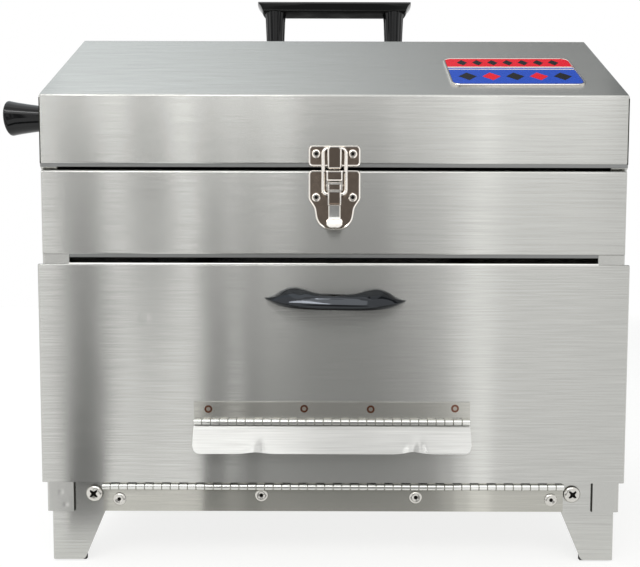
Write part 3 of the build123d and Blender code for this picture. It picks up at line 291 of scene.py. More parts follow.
# Foot pads: dull dark grey
rubber = moulded("rubber_moulded_black", "#161615", 0.75, 0.1, 0.4)
# The badge's fields: flat strong red, blue, black and cream under a faint gloss
enamel_red = enamel("enamel_red", "#E8122A")
enamel_blue = enamel("enamel_blue", "#2450BE")
enamel_black = enamel("enamel_black", "#16161A")
enamel_cream = enamel("enamel_cream", "#E9E6DC")


# Shapes
def loft(rings, finishes=(0,)):
    """A closed skin through rings of equally many points. finishes gives the material number of each
    step from ring to ring, and its last value goes on to the steps that follow and the end cap."""
    size = len(rings[0])
    points = [point for ring in rings for point in ring]
    faces, numbers = [], []
    for step in range(len(rings) - 1):
        number = finishes[min(step, len(finishes) - 1)]
        for j in range(size):
            k = (j + 1) % size
            faces.append((step * size + j, step * size + k, (step + 1) * size + k, (step + 1) * size + j))
            numbers.append(number)
    faces.append(tuple(reversed(range(size))))
    faces.append(tuple(range(len(points) - size, len(points))))
    return points, faces, numbers + [finishes[0], finishes[-1]]


def turned(profile, seat, outward, sides=40, carve=None):
    """Rings of a turned shape. profile lists (height off the seat, radius) in millimetres; carve, if
    given, takes a ring's radius and an angle and returns how far that point is sunk."""
    outward = Vector(outward).normalized()
    side = outward.orthogonal().normalized()
    up = outward.cross(side)
    rings = []
    for height, radius in profile:
        ring = []
        for i in range(sides):
            angle = math.tau * i / sides
            sunk = carve(radius, angle) if carve else 0.0
            ring.append(seat + (outward * (height - sunk)
                                + (side * math.cos(angle) + up * math.sin(angle)) * radius) * MM)
        rings.append(ring)
    return rings


def tube(path, radius, sides=16):
    """Rings of a round bar along a path of points in metres, square to the path at each point."""
    rings = []
    last_up = None
    for i, point in enumerate(path):
        ahead = (path[min(i + 1, len(path) - 1)] - path[max(i - 1, 0)]).normalized()
        up = (last_up - ahead * last_up.dot(ahead)) if last_up else ahead.orthogonal()
        up.normalize()
        side = ahead.cross(up)
        rings.append([point + (up * math.cos(math.tau * j / sides)
                               + side * math.sin(math.tau * j / sides)) * radius * MM
                      for j in range(sides)])
        last_up = up
    return rings


def rounded(corners, steps=7):
    """The outline through corners given as (x, y, radius), each rounded by an arc of its radius."""
    outline = []
    for i, (x, y, radius) in enumerate(corners):
        here = Vector((x, y))
        to_last = (Vector(corners[i - 1][:2]) - here).normalized()
        to_next = (Vector(corners[(i + 1) % len(corners)][:2]) - here).normalized()
        half = to_last.angle(to_next) / 2
        reach = radius / math.tan(half)
        centre = here + (to_last + to_next).normalized() * (radius / math.sin(half))
        first = here + to_last * reach - centre
        final = here + to_next * reach - centre
        outline += [centre + first.slerp(final, j / steps).normalized() * radius
                    for j in range(steps + 1)]
    return outline


def inset(outline, distance):
    """The outline moved inwards. The outline runs anticlockwise."""
    moved = []
    for i, here in enumerate(outline):
        back = here - outline[i - 1]
        ahead = outline[(i + 1) % len(outline)] - here
        normals = [Vector((-edge.y, edge.x)).normalized() for edge in (back, ahead) if edge.length > 1e-6]
        mean = sum(normals, Vector((0, 0))).normalized()
        moved.append(here + mean * distance / max(0.5, mean.dot(normals[0])))
    return moved


FLOOR_EDGE = 0.15


def rimmed(outline, place, thick, rim, sunk, bevel):
    """A pressed plate with a raised rim. place turns (x, y, height) into a point. The rim takes
    finish 0 and the sunk floor takes finish 1. A narrow band at the floor's edge keeps it flat."""
    levels = ((0, 0), (0, thick - bevel), (bevel, thick), (rim - bevel, thick), (rim, thick - sunk),
              (rim + FLOOR_EDGE, thick - sunk))
    rings = [[place(p.x, p.y, height) for p in inset(outline, step)] for step, height in levels]
    return loft(rings, finishes=(0, 0, 0, 0, 1))


def slab(low, high, bevel=0.2):
    """A sheet-metal block between two corners, in millimetres, with its edges along X softened."""
    (x0, y0, z0), (x1, y1, z1) = low, high
    section = ((y0 + bevel, z0), (y1 - bevel, z0), (y1, z0 + bevel), (y1, z1 - bevel),
               (y1 - bevel, z1), (y0 + bevel, z1), (y0, z1 - bevel), (y0, z0 + bevel))
    return loft([[spot(x, y, z) for y, z in section] for x in (x0, x1)])


def skinned(name, parts, finishes, smooth):
    """Make one object of several skins and give it its finishes."""
    shape = bmesh.new()
    for points, faces, numbers in parts:
        corners = [shape.verts.new(point) for point in points]
        made = []
        for face, number in zip(faces, numbers):
            flat = shape.faces.new([corners[i] for i in face])
            flat.material_index = number
            made.append(flat)
        bmesh.ops.recalc_face_normals(shape, faces=made)
    mesh = bpy.data.meshes.new(name)
    shape.to_mesh(mesh)
    shape.free()
    for made_of in finishes:
        mesh.materials.append(made_of)
    mesh.shade_smooth()
    mesh.set_sharp_from_angle(angle=math.radians(smooth))
    return placed(name, mesh)


def dress(name, parts, finishes, stands_for, body, smooth=40):
    """A piece in a CAD node's place."""
    made = skinned(name, parts, finishes, smooth)
    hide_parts(stands_for)
    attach(made, body)
    return made


def trim(name, parts, made_of, body):
    """A small piece beside the CAD nodes."""
    made = skinned(name, parts, [made_of], 40)
    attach(made, body)


# Carry handle: a bar with slightly bowed ends, narrower underneath, on two flared and fluted posts
HANDLE_LOW = 463.6
HANDLE_Y = DEPTH / 2
POST_X = 56.0


def bar_outline(half_length, half_width, bow=1.0, count=9):
    """The bar seen from above: straight sides and bowed ends."""
    outline = []
    for end in (1, -1):
        for i in range(count):
            t = -1 + 2 * i / (count - 1)
            outline.append((end * (half_length - bow * t * t), end * t * half_width))
    return outline


# Height, half length and half width of the bar at each level
HANDLE_LEVELS = ((0.0, 66.5, 8.2), (0.5, 67.6, 8.9), (2.0, 68.6, 9.6), (5.0, 70.0, 10.3), (7.2, 72.2, 10.9),
                 (8.1, 72.4, 10.8), (8.5, 71.9, 10.2))
bar = loft([[spot(x, HANDLE_Y + y, HANDLE_LOW + up) for x, y in bar_outline(length, width)]
            for up, length, width in HANDLE_LEVELS], finishes=(1, 0))
# Turned profiles are lists of (height off the seat, radius)
POST_PROFILE = [(0.0, 7.3), (0.4, 7.6), (30.0, 8.8), (44.0, 9.4), (48.0, 9.9), (49.3, 10.3)]
FLUTES = 14
FLUTE_DEPTH = 0.3


def fluted(rings, axis_x):
    """The rings of a post with its shallow flutes pressed in."""
    axis = spot(axis_x, HANDLE_Y, 0.0)
    for ring in rings:
        for point in ring:
            away = Vector((point.x - axis.x, point.y - axis.y, 0.0))
            turn = math.atan2(away.y, away.x)
            point -= away.normalized() * FLUTE_DEPTH * MM * (1 + math.cos(FLUTES * turn))
    return rings


posts = [loft(fluted(turned(POST_PROFILE, spot(x, HANDLE_Y, ROOF), (0, 0, 1), 8 * FLUTES), x))
         for x in (-POST_X, POST_X)]
dress("carry_handle_moulded", [bar, *posts], [phenolic, phenolic_inside], "carry_handle", "hood")

# Side knob: turned, hollow-sided flare to a thin rim
low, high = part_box("side_knob")
knob_seat = Vector((high.x, (low.y + high.y) / 2, (low.z + high.z) / 2))
KNOB_PROFILE = [(0.0, 8.1), (0.5, 8.4), (8.0, 9.1), (18.0, 10.3), (27.0, 11.6), (32.5, 12.6), (33.6, 12.9),
                (34.4, 12.8), (34.9, 12.3), (36.0, 8.6), (36.7, 4.6), (37.0, 0.6)]
dress("side_knob_turned", [loft(turned(KNOB_PROFILE, knob_seat, (-1, 0, 0), 64))], [phenolic],
      "side_knob", "hood")


# Piano hinges: strips with rolled knuckles
PITCH = 6.35
KNUCKLE_RADIUS = 2.45
KNUCKLE_GAP = 0.1
KNUCKLE_EDGE = (0.35, 0.45)
STRIP_THICK = 1.0


def knuckles(count, first, start, step, axis):
    """Rolled knuckles along X: every second place from first, starting at start and going by step."""
    run, drop = KNUCKLE_EDGE
    profile = ((KNUCKLE_GAP, KNUCKLE_RADIUS - drop), (KNUCKLE_GAP + run, KNUCKLE_RADIUS),
               (PITCH - KNUCKLE_GAP - run, KNUCKLE_RADIUS), (PITCH - KNUCKLE_GAP, KNUCKLE_RADIUS - drop))
    return [loft(turned(profile, spot(start + step * PITCH * i, *axis), (step, 0, 0), 20), (1,))
            for i in range(first, count, 2)]


def hinge_strip(middle, face, plate, tabs, count, first, step, axis):
    """A strip's skins: its plate, the tabs that run on from it, and its knuckles. face is the depth of
    its front, and plate and tabs are (lowest, highest)."""
    half = PITCH * count / 2
    start = middle - step * half
    skins = [slab((middle - half, face, plate[0]), (middle + half, face + STRIP_THICK, plate[1]))]
    for i in range(first, count, 2):
        ends = [start + step * (PITCH * i + KNUCKLE_GAP), start + step * (PITCH * (i + 1) - KNUCKLE_GAP)]
        skins.append(slab((min(ends), face, tabs[0]), (max(ends), face + STRIP_THICK, tabs[1])))
    return skins + knuckles(count, first, start, step, axis)


DOOR_KNUCKLES = 54
DOOR_AXIS = (-0.4, 57.2)
SILL_FACE = 1.4
dress("door_hinge_sill_strip",
      hinge_strip(0.0, SILL_FACE, (38.1, 54.4), (54.2, 57.6), DOOR_KNUCKLES, 0, -1, DOOR_AXIS),
      [stainless_strip, highlight_steel], "door_hinge_sill_leaf", "body")
dress("door_hinge_door_strip",
      hinge_strip(0.0, 0.1, (60.2, 74.2), (57.2, 60.4), DOOR_KNUCKLES, 0, 1, DOOR_AXIS),
      [stainless_strip, highlight_steel], "door_hinge_door_leaf", "door")
FLAP_KNUCKLES = 32
FLAP_HALF = PITCH * FLAP_KNUCKLES / 2
FLAP_X = -1.0
FLAP_AXIS = (-3.9, 106.5)
dress("flap_hinge_door_strip",
      hinge_strip(FLAP_X, DOOR_FACE - STRIP_THICK, (109.3, 121.1), (106.5, 109.6),
                  FLAP_KNUCKLES, 1, 1, FLAP_AXIS),
      [stainless_leaf, highlight_steel], "flap_hinge_door_leaf", "door")

# Air flap: thin sheet that leans out, its lower edge dented in two places
FLAP_LEAN = math.radians(25.0)
FLAP_TOP = 2.8
FLAP_REACH = 23.4
FLAP_CORNER = 6.0
FLAP_THICK = 0.8
# The sheet's front against the pin's line, and the deepest a dent goes, which keeps it off the door
FLAP_FRONT = -1.3
FLAP_DEEPEST = -1.85
# Each dent's centre and rise, then the width of its notch and the place and width of its hollow and curl
FLAP_DENTS = ((-55.0, 1.1), (60.0, 1.6))
NOTCH_WIDTH = 8.5
HOLLOW_AT, HOLLOW_WIDTH = 4.5, 2.6
CURL_AT, CURL_WIDTH = -2.5, 4.5


def on_flap(across, down, out):
    """A place on the flap: across from its middle, down from the pin, out from the pin's line."""
    return spot(FLAP_X + across,
                FLAP_AXIS[0] - down * math.sin(FLAP_LEAN) - out * math.cos(FLAP_LEAN),
                FLAP_AXIS[1] - down * math.cos(FLAP_LEAN) + out * math.sin(FLAP_LEAN))


def flap_shape(across, share):
    """Where the sheet's front lies: how far down, and how far out, at a share of its length."""
    edge = FLAP_REACH
    overrun = abs(across) - (FLAP_HALF - FLAP_CORNER)
    if overrun > 0:
        edge -= FLAP_CORNER - math.sqrt(max(0.0, FLAP_CORNER ** 2 - overrun ** 2))
    out = FLAP_FRONT
    for centre, rise in FLAP_DENTS:
        beside = across - centre
        edge -= rise * math.exp(-(beside / NOTCH_WIDTH) ** 2)
        hollow = share ** 4 * math.exp(-((beside - HOLLOW_AT) / HOLLOW_WIDTH) ** 2)
        curl = share ** 3 * math.exp(-((beside - CURL_AT) / CURL_WIDTH) ** 2)
        out += rise * (0.7 * curl - 1.1 * hollow)
    return FLAP_TOP + (edge - FLAP_TOP) * share, max(out, FLAP_DEEPEST)


COLUMNS, ROWS = 150, 14
front_grid, back_grid = [], []
for row in range(ROWS + 1):
    for column in range(COLUMNS + 1):
        across = -FLAP_HALF + 2 * FLAP_HALF * column / COLUMNS
        down, out = flap_shape(across, row / ROWS)
        front_grid.append(on_flap(across, down, out))
        back_grid.append(on_flap(across, down, out - FLAP_THICK))
wide = COLUMNS + 1
front_faces = [(r * wide + c, r * wide + c + 1, (r + 1) * wide + c + 1, (r + 1) * wide + c)
               for r in range(ROWS) for c in range(COLUMNS)]
total = len(front_grid)
border = list(range(wide))
border += [r * wide + COLUMNS for r in range(1, ROWS + 1)]
border += [ROWS * wide + c for c in range(COLUMNS - 1, -1, -1)]
border += [r * wide for r in range(ROWS - 1, 0, -1)]
rim = [(here, ahead, total + ahead, total + here) for here, ahead in zip(border, border[1:] + border[:1])]
back_faces = [tuple(total + i for i in reversed(face)) for face in front_faces]
sheet_faces = front_faces + back_faces + rim
sheet = (front_grid + back_grid, sheet_faces, [0] * len(sheet_faces))
dress("vent_flap_sheet", [sheet, *knuckles(FLAP_KNUCKLES, 1, FLAP_X + FLAP_HALF, -1, FLAP_AXIS)],
      [stainless_flap, highlight_steel], "vent_flap", "flap")

# Door pull: a polished wing, its lobes swept back to the door
PULL_X = 1.2
PULL_Z = 196.7
PULL_HALF = 52.0
PULL_TILT = math.radians(1.0)
PULL_REACH = 22.4
PULL_EDGE = 0.3
GRIP_REACH, GRIP_HALF = 14.0, 25.0
LOBE_RISE, LOBE_AT, LOBE_WIDTH = 8.2, 30.0, 15.0
BROW_RISE, BROW_WIDTH = 3.8, 17.0
NOSE_DEPTH = 8.3
# The nose from its lip up to its flat facet, as (in from the furthest reach, up); then the crest, as
# (share of the depth from grip to reach, share of the crest's rise)
NOSE = ((5.5, -8.4), (2.8, -7.2), (0.6, -4.9), (0.0, -3.9), (0.05, -3.6), (0.7, -2.0), (1.4, -0.4),
        (1.6, 0.0))
CREST = ((0.8, 0.3), (0.64, 0.6), (0.46, 0.92), (0.3, 1.0), (0.1, 0.98), (0.0, 0.4))


def pull_section(share):
    """One cross-section of the pull at a share of its half length: (out from the door, up). Its nose is
    a flat facet tilted up to the light, over a rounded lip, and the lobes stand up behind it."""
    x = share * PULL_HALF
    reach = PULL_REACH * (1 - share ** 2) ** 0.6 + PULL_EDGE
    grip = GRIP_REACH * max(0.0, 1 - (x / GRIP_HALF) ** 2) ** 0.6
    crest = (LOBE_RISE * math.exp(-((abs(x) - LOBE_AT) / LOBE_WIDTH) ** 2)
             + BROW_RISE * math.exp(-(x / BROW_WIDTH) ** 2))
    crest *= min(1.0, (1 - abs(share)) * 4.0) ** 0.6
    full = (1 - share ** 4) ** 0.8
    depth = reach - grip
    back = min(1.0, depth / NOSE_DEPTH)
    outline = [(grip, -1.5 * full), (grip + 0.15 * depth, -5.4 * full)]
    outline += [(reach - off * back, up * full) for off, up in NOSE]
    outline += [(grip + part * depth, up * crest) for part, up in CREST]
    return outline


STATIONS = 48
rings = []
for i in range(STATIONS + 1):
    share = -1 + 2 * i / STATIONS
    sagged = PULL_Z - share * PULL_HALF * math.tan(PULL_TILT)
    rings.append([spot(PULL_X + share * PULL_HALF, DOOR_FACE - out, sagged + up)
                  for out, up in pull_section(share * 0.999)])
pull = dress("door_pull_polished", [loft(rings)], [pull_nickel], "door_pull", "door", 60)
rounding = pull.modifiers.new("rounding", "SUBSURF")
rounding.levels = rounding.render_levels = 2

# Latch
LATCH_X = 0.4


def on_latch(across, up, out):
    """A place on the latch, out from the front face."""
    return spot(LATCH_X + across, -out, up)


def both_sides(half):
    """A right-hand run of corners and its mirror image, anticlockwise from the bottom right."""
    return half + [(-x, y, r) for x, y, r in reversed(half)]


def side_plates(corners, inner, outer):
    """A pair of upright plates, one at each side of the latch, with corners given as (out, up, radius)."""
    outline = rounded(corners)
    return [loft([[on_latch(side * x, p.y, p.x) for p in outline] for x in (inner, outer)])
            for side in (-1, 1)]


# Base, keeper and tongue. A pressed plate has a thickness, a rim's width, a sunk depth and a bevel.
BASE_HALF = [(12.3, 247.0, 11.4), (14.6, 262.5, 8.0), (18.85, 269.0, 5.0), (18.85, 289.7, 3.0)]
KEEPER_HALF = [(18.8, 292.4, 3.0), (18.8, 307.4, 3.0)]
LATCH_PLATE = (1.6, 1.15, 0.55, 0.5)
base_plate = rimmed(rounded(both_sides(BASE_HALF)), on_latch, *LATCH_PLATE)
keeper_plate = rimmed(rounded(both_sides(KEEPER_HALF)), on_latch, *LATCH_PLATE)
TONGUE_HALF = [(5.1, 0.2, 1.2), (5.1, 15.4, 2.8)]
TONGUE_PLATE = (1.4, 1.1, 0.5, 0.5)
TONGUE_OUT, TONGUE_UP = 1.2, 290.3
TONGUE_LEAN = 6.1 / 15.3


def on_tongue(across, up, out):
    """A place on the tongue, which leans out as it rises from the keeper's lower edge."""
    return on_latch(across, TONGUE_UP + up, TONGUE_OUT + TONGUE_LEAN * up + out)


tongue = rimmed(rounded(both_sides(TONGUE_HALF)), on_tongue, *TONGUE_PLATE)
tongue_foot = slab((LATCH_X - 4.95, -2.2, 290.8), (LATCH_X + 4.95, -0.6, 293.2))
dress("latch_keeper_plate", [keeper_plate, tongue, tongue_foot], [highlight_nickel, shaded_nickel],
      "latch_keeper", "hood", 60)

# The bridge on the base, which carries the lever's pin: a web over two ears, closed at the top
BRIDGE_HALF, BRIDGE_OUT, BRIDGE_TOP = 5.8, 6.9, 288.4
WEB_HALF = [(BRIDGE_HALF, 280.9, 1.3), (BRIDGE_HALF, 288.3, 1.3)]
WEB_PLATE = (1.3, 1.1, 0.45, 0.45)
EAR_CORNERS = [(8.0, 281.2, 0.8), (8.0, BRIDGE_TOP, 1.2), (1.2, BRIDGE_TOP, 0.4), (1.2, 274.4, 0.4),
               (7.6, 274.4, 2.0)]


def on_bridge(across, up, out):
    """A place on the bridge's web, which stands off the base."""
    return on_latch(across, up, BRIDGE_OUT + out)


web = rimmed(rounded(both_sides(WEB_HALF)), on_bridge, *WEB_PLATE)
ears = side_plates(EAR_CORNERS, 4.8, BRIDGE_HALF)
lid = slab((LATCH_X - BRIDGE_HALF, -7.8, BRIDGE_TOP - 1.0), (LATCH_X + BRIDGE_HALF, -1.2, BRIDGE_TOP))
dress("latch_base_plate", [base_plate, web, lid, *ears], [highlight_nickel, shaded_nickel],
      "latch_base", "body", 60)
PIN_HALF = 6.2
PIN_OUT, PIN_UP = 6.0, 278.0
pin_profile = ((0.0, 0.7), (0.4, 1.2), (2 * PIN_HALF - 0.4, 1.2), (2 * PIN_HALF, 0.7))
dress("latch_pivot_rod", [loft(turned(pin_profile, on_latch(-PIN_HALF, PIN_UP, PIN_OUT), (1, 0, 0), 20))],
      [highlight_nickel], "latch_pivot_pin", "body")

# Bail: wire loop from the lever's cheeks up over the tongue, with its foot and top as (out, up)
BAIL_FOOT = (5.2, 272.0)
BAIL_TOP = (3.0, 304.5)
BAIL_HALF = 8.2
BEND_RADIUS = 3.2
BAIL_WIRE = 1.4
BAIL_END = 3.2
bail_length = math.hypot(BAIL_TOP[0] - BAIL_FOOT[0], BAIL_TOP[1] - BAIL_FOOT[1])
bend_x = BAIL_HALF - BEND_RADIUS
loop = [(BAIL_END, 0.0), (bend_x, 0.0)]
for along, start in ((BEND_RADIUS, -90), (bail_length - BEND_RADIUS, 0)):
    angles = [math.radians(start + turn) for turn in range(0, 91, 15)]
    loop += [(bend_x + BEND_RADIUS * math.cos(a), along + BEND_RADIUS * math.sin(a)) for a in angles]
loop += [(-x, y) for x, y in reversed(loop)]


def on_bail(across, along):
    """A place on the bail's own plane."""
    share = along / bail_length
    return on_latch(across, BAIL_FOOT[1] + (BAIL_TOP[1] - BAIL_FOOT[1]) * share,
                    BAIL_FOOT[0] + (BAIL_TOP[0] - BAIL_FOOT[0]) * share)


dress("latch_bail_wire", [loft(tube([on_bail(x, y) for x, y in loop], BAIL_WIRE))], [highlight_nickel],
      "latch_bail", "latch_bail")

# Lever: a strip that dips to the plate, down a line of (out, up), and turns out into a thumb tab
LEVER_LINE = ((8.3, 280.0), (8.4, 276.0), (8.4, 270.2), (7.6, 267.6), (5.2, 264.2), (4.5, 260.0),
              (4.1, 256.4), (4.9, 253.8))
LEVER_THICK = 1.3
LEVER_SIDE = 1.15
LEVER_BEVEL, LEVER_WALL = 0.25, 0.2


def lever_strip(first, last, half, floor_finish, rim, sunk):
    """Part of the lever between two points of its line: a raised rim along both edges in finish 0, and
    a sunk floor between them."""
    left = [(-half, 0.0), (-half, LEVER_SIDE), (-half + LEVER_BEVEL, LEVER_THICK),
            (-half + rim, LEVER_THICK), (-half + rim + LEVER_WALL, LEVER_THICK - sunk)]
    section = left + [(-x, lift) for x, lift in reversed(left)]
    points, faces, numbers = loft([[on_latch(x, up, out - LEVER_THICK + lift) for x, lift in section]
                                   for out, up in LEVER_LINE[first:last + 1]])
    floor_start = len(left) - 1
    for i, face in enumerate(faces[:-2]):
        if face[0] % len(section) == floor_start:
            numbers[i] = floor_finish
    return points, faces, numbers


def bar_across(out, up, half, height):
    """A bar across the lever, a little proud of its face, in the nickel painted near white as a highlight.
    """
    return slab((LATCH_X - half, -out - 0.1, up), (LATCH_X + half, -out + 1.1, up + height))


TAB_HALF = [(6.2, 0.0, 4.6), (5.6, 8.0, 1.6)]
TAB_OUT, TAB_UP = 8.2, 247.4
TAB_LEAN = math.atan2(4.4, 6.6)
# Steps in from the tab's edge, each with its height
TAB_DOME = ((0, 0.0), (0, 0.9), (0.3, 1.2), (1.6, 1.3))
CHEEK_CORNERS = [(3.2, 279.0, 0.8), (2.6, 273.5, 1.5), (4.2, 269.0, 1.0), (7.6, 269.0, 0.8),
                 (7.6, 280.4, 0.8), (4.4, 280.4, 0.6)]


def on_tab(across, up, out):
    """A place on the thumb tab, which leans out towards its lower end."""
    return on_latch(across, TAB_UP + up * math.cos(TAB_LEAN) + out * math.sin(TAB_LEAN),
                    TAB_OUT - up * math.sin(TAB_LEAN) + out * math.cos(TAB_LEAN))


tab_outline = rounded(both_sides(TAB_HALF))
tab = loft([[on_tab(p.x, p.y, height) for p in inset(tab_outline, step)] for step, height in TAB_DOME])
# How far out and up each bar is, half its width, and its height
LEVER_BARS = ((8.4, 278.4, 4.4, 1.7), (8.4, 272.9, 4.4, 2.2), (6.3, 263.7, 4.2, 0.8))
# The lever's upper sunk floor is in the darkened nickel, painted shade, and its lower floor in the
# lightened knuckle steel, a painted highlight
dress("latch_lever_strip",
      [lever_strip(0, 4, 4.7, 1, 1.0, 0.7), lever_strip(4, 7, 4.3, 2, 0.6, 0.5), tab,
       *side_plates(CHEEK_CORNERS, 3.5, 4.5), *[bar_across(*bar_place) for bar_place in LEVER_BARS]],
      [highlight_nickel, shaded_nickel, highlight_steel], "latch_lever", "latch_lever")


# Fasteners. A screw's cross narrows outwards, and its walls slope over a short run.
RECESS_REACH, RECESS_DEPTH = 3.7, 1.7
RECESS_HALF_WIDTH, RECESS_TAPER = 1.25, 0.2
RECESS_END_RUN, RECESS_SIDE_RUN = 0.8, 0.25


def cross_recess(radius, angle):
    """How far a cross-point driver's recess sinks a screw head at this place."""
    x, y = abs(radius * math.cos(angle)), abs(radius * math.sin(angle))
    along, beside = max(x, y), min(x, y)
    width = RECESS_HALF_WIDTH - RECESS_TAPER * along
    if along > RECESS_REACH or beside > width:
        return 0.0
    return (RECESS_DEPTH * min(1.0, (RECESS_REACH - along) / RECESS_END_RUN)
            * min(1.0, (width - beside) / RECESS_SIDE_RUN))


def screw_head(seat, outward):
    """A truss head with a cross recess. The recess and the joint round the head's foot are painted dark as
    painted shade.
    """
    dome = [(0.0, 6.3), (0.5, 6.4), (1.2, 6.1), (1.9, 5.4), (2.4, 4.5)]
    crown = [(2.4 + 0.5 * (1 - (r / 4.5) ** 2), r) for r in
             (4.2, 3.9, 3.6, 3.4, 3.2, 3.0, 2.7, 2.4, 2.1, 1.8, 1.5, 1.2, 1.0, 0.8, 0.6, 0.4, 0.1)]
    profile = dome + crown
    sides = 96
    points, faces, numbers = loft(turned(profile, seat, outward, sides, cross_recess))
    for step in range(len(profile) - 1):
        radius = (profile[step][1] + profile[step + 1][1]) / 2
        for j in range(sides):
            sunk = cross_recess(radius, math.tau * (j + 0.5) / sides)
            numbers[step * sides + j] = 1 if sunk > 0.3 or step == 0 else 0
    return points, faces, numbers[:-1] + [1]


SCREW_X, SCREW_Z = 178.2, 51.5
SCREW_SEAT, SCREW_INSET = 2.4, 26.0
screw_seats = [(spot(x, SCREW_SEAT, SCREW_Z), (0, -1, 0)) for x in (-SCREW_X, SCREW_X)]
screw_seats += [(spot(x, DEPTH, SCREW_Z), (0, 1, 0)) for x in (-SCREW_X, SCREW_X)]
screw_seats += [(spot(side * HALF, y, SCREW_Z), (side, 0, 0))
                for side in (-1, 1) for y in (SCREW_INSET, DEPTH - SCREW_INSET)]
dress("leg_screw_heads", [screw_head(*seat) for seat in screw_seats], [zinc, recess_shade],
      "leg_screws", "body")


def blind_rivet(seat, outward, radius, height, hole):
    """A blind rivet's flat dome, its mandrel broken off inside. The band round its foot and its bore are
    painted dark as painted shade.
    """
    profile = [(0.0, radius), (0.3 * height, radius), (0.7 * height, 0.88 * radius), (height, 0.7 * radius),
               (height, 0.58 * radius), (0.55 * height, 1.15 * hole), (0.55 * height, hole),
               (0.1 * height, 0.9 * hole), (0.1 * height, 0.1)]
    return loft(turned(profile, seat, outward, 32), finishes=(1, 0, 0, 0, 0, 0, 1, 1))


DOOR_RIVETS = ((-159.45, 47.3), (-53.5, 50.4), (61.5, 49.0), (162.45, 47.3))
dress("door_hinge_rivet_heads",
      [blind_rivet(spot(x, SILL_FACE, z), (0, -1, 0), 4.7, 1.5, 1.4) for x, z in DOOR_RIVETS],
      [zinc, recess_shade], "door_hinge_rivets", "body")
LATCH_RIVET_X, LATCH_RIVET_SEAT = 13.2, 1.0
for name, stands_for, body, up in (("latch_keeper_rivet_heads", "latch_keeper_rivets", "hood", 301.3),
                                   ("latch_base_rivet_heads", "latch_base_rivets", "body", 270.2)):
    dress(name, [blind_rivet(on_latch(x, up, LATCH_RIVET_SEAT), (0, -1, 0), 3.4, 1.4, 1.35)
                 for x in (-LATCH_RIVET_X, LATCH_RIVET_X)],
          [highlight_nickel, recess_shade], stands_for, body)

# Badge: a nickel rim round enamel fields, with plain stripes and lozenges
SLOPE_RUN, SLOPE_RISE = 98.0, ROOF - SHOULDER
slope_length = math.hypot(SLOPE_RUN, SLOPE_RISE)
BADGE_X, BADGE_UP, BADGE_TILT = 137.0, 47.0, math.radians(0.4)


def on_badge(x, y, out):
    """A place on the badge: across, up the hood's slope, and off it."""
    across = BADGE_X + x * math.cos(BADGE_TILT) - y * math.sin(BADGE_TILT)
    along = BADGE_UP + x * math.sin(BADGE_TILT) + y * math.cos(BADGE_TILT)
    return spot(across, (along * SLOPE_RUN - out * SLOPE_RISE) / slope_length,
                SHOULDER + (along * SLOPE_RISE + out * SLOPE_RUN) / slope_length)


BADGE_HALF_W, BADGE_HALF_H, BADGE_CORNER = 50.5, 29.0, 7.0
BADGE_PLATE = (1.4, 1.5, 0.5, 0.2)
FIELD_INSET = 1.9
ENAMEL_LOW, ENAMEL_TOP = 0.9, 1.22
# The enamels' numbers among the badge's finishes
RED, BLUE, BLACK, CREAM = 2, 3, 4, 5
BADGE_RIGHT = [(BADGE_HALF_W, -BADGE_HALF_H, BADGE_CORNER), (BADGE_HALF_W, BADGE_HALF_H, BADGE_CORNER)]
badge_outline = rounded(both_sides(BADGE_RIGHT), 10)
badge_parts = [rimmed(badge_outline, on_badge, *BADGE_PLATE)]


def patch(outline, number, lift):
    """A patch of enamel on the badge."""
    rings = [[on_badge(x, y, out) for x, y in outline] for out in (ENAMEL_LOW, ENAMEL_TOP + lift)]
    return loft(rings, finishes=(number,))


def field(low_y, high_y, number, lift=0.0):
    """An enamel field across the badge between two heights, cut to the badge's rounded inside."""
    shape = bmesh.new()
    inner = [shape.verts.new((p.x, p.y, 0)) for p in inset(badge_outline, FIELD_INSET)]
    shape.faces.new(inner)
    for height, keep in ((low_y, -1), (high_y, 1)):
        bmesh.ops.bisect_plane(shape, geom=shape.verts[:] + shape.edges[:] + shape.faces[:],
                               plane_co=(0, height, 0), plane_no=(0, keep, 0), clear_outer=True)
    outline = [loop.vert.co.to_2d() for loop in shape.faces[:][0].loops]
    shape.free()
    return patch(outline, number, lift)


def lozenge(x, y, half_w, half_h, number, lift=0.03):
    """A small raised enamel lozenge."""
    return patch([(x + half_w, y), (x, y + half_h), (x - half_w, y), (x, y - half_h)], number, lift)


badge_parts += [field(9.0, 28.0, RED), field(6.6, 9.0, CREAM), field(4.2, 6.6, BLUE),
                field(2.6, 4.2, CREAM), field(-28.0, 2.6, BLUE, -0.02)]
badge_parts += [lozenge(-36.0 + 12.0 * i, 18.0, 4.2, 6.2, BLACK) for i in range(7)]
badge_parts += [lozenge(-36.0 + 18.0 * i, -12.0, 7.0, 8.0, RED if i % 2 else BLACK) for i in range(5)]
dress("badge_enamelled", badge_parts,
      [highlight_nickel, shaded_nickel, enamel_red, enamel_blue, enamel_black, enamel_cream],
      "badge_plate", "hood")


# Trims: hems along the two gaps in painted shade, the door's rolled top edge as a painted highlight, and
# dark strips of painted shadow at the folded corners
HEM, HEM_FRONT, HEM_BACK = 2.2, 0.2, 1.4
OPENING_HALF = 192.9
for name, body, half, edge in (("hood_front_hem", "hood", 212.9, HOOD_BOTTOM),
                               ("panel_lower_hem", "body", OPENING_HALF, PANEL_BOTTOM)):
    trim(name, [slab((-half, HEM_FRONT, edge - HEM), (half, HEM_BACK, edge + 0.3))], hem_shade_steel, body)
ROLL_RADIUS = 1.3
roll_seat = spot(-OPENING_HALF, 0.2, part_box("door_skin")[1].z / MM - 0.2)
roll_profile = ((0.0, ROLL_RADIUS), (2 * OPENING_HALF, ROLL_RADIUS))
# The rolled edge is in the lightened knuckle steel: a painted highlight along the door's top bend
trim("door_rolled_edge", [loft(turned(roll_profile, roll_seat, (1, 0, 0), 24))], highlight_steel, "door")
trim("hood_corner_shadow_strips",
     [slab((x - 0.4, -0.04, 294.5), (x + 0.4, 0.3, 341.5), 0.02) for x in (-212.7, 212.7)],
     edge_shadow, "hood")
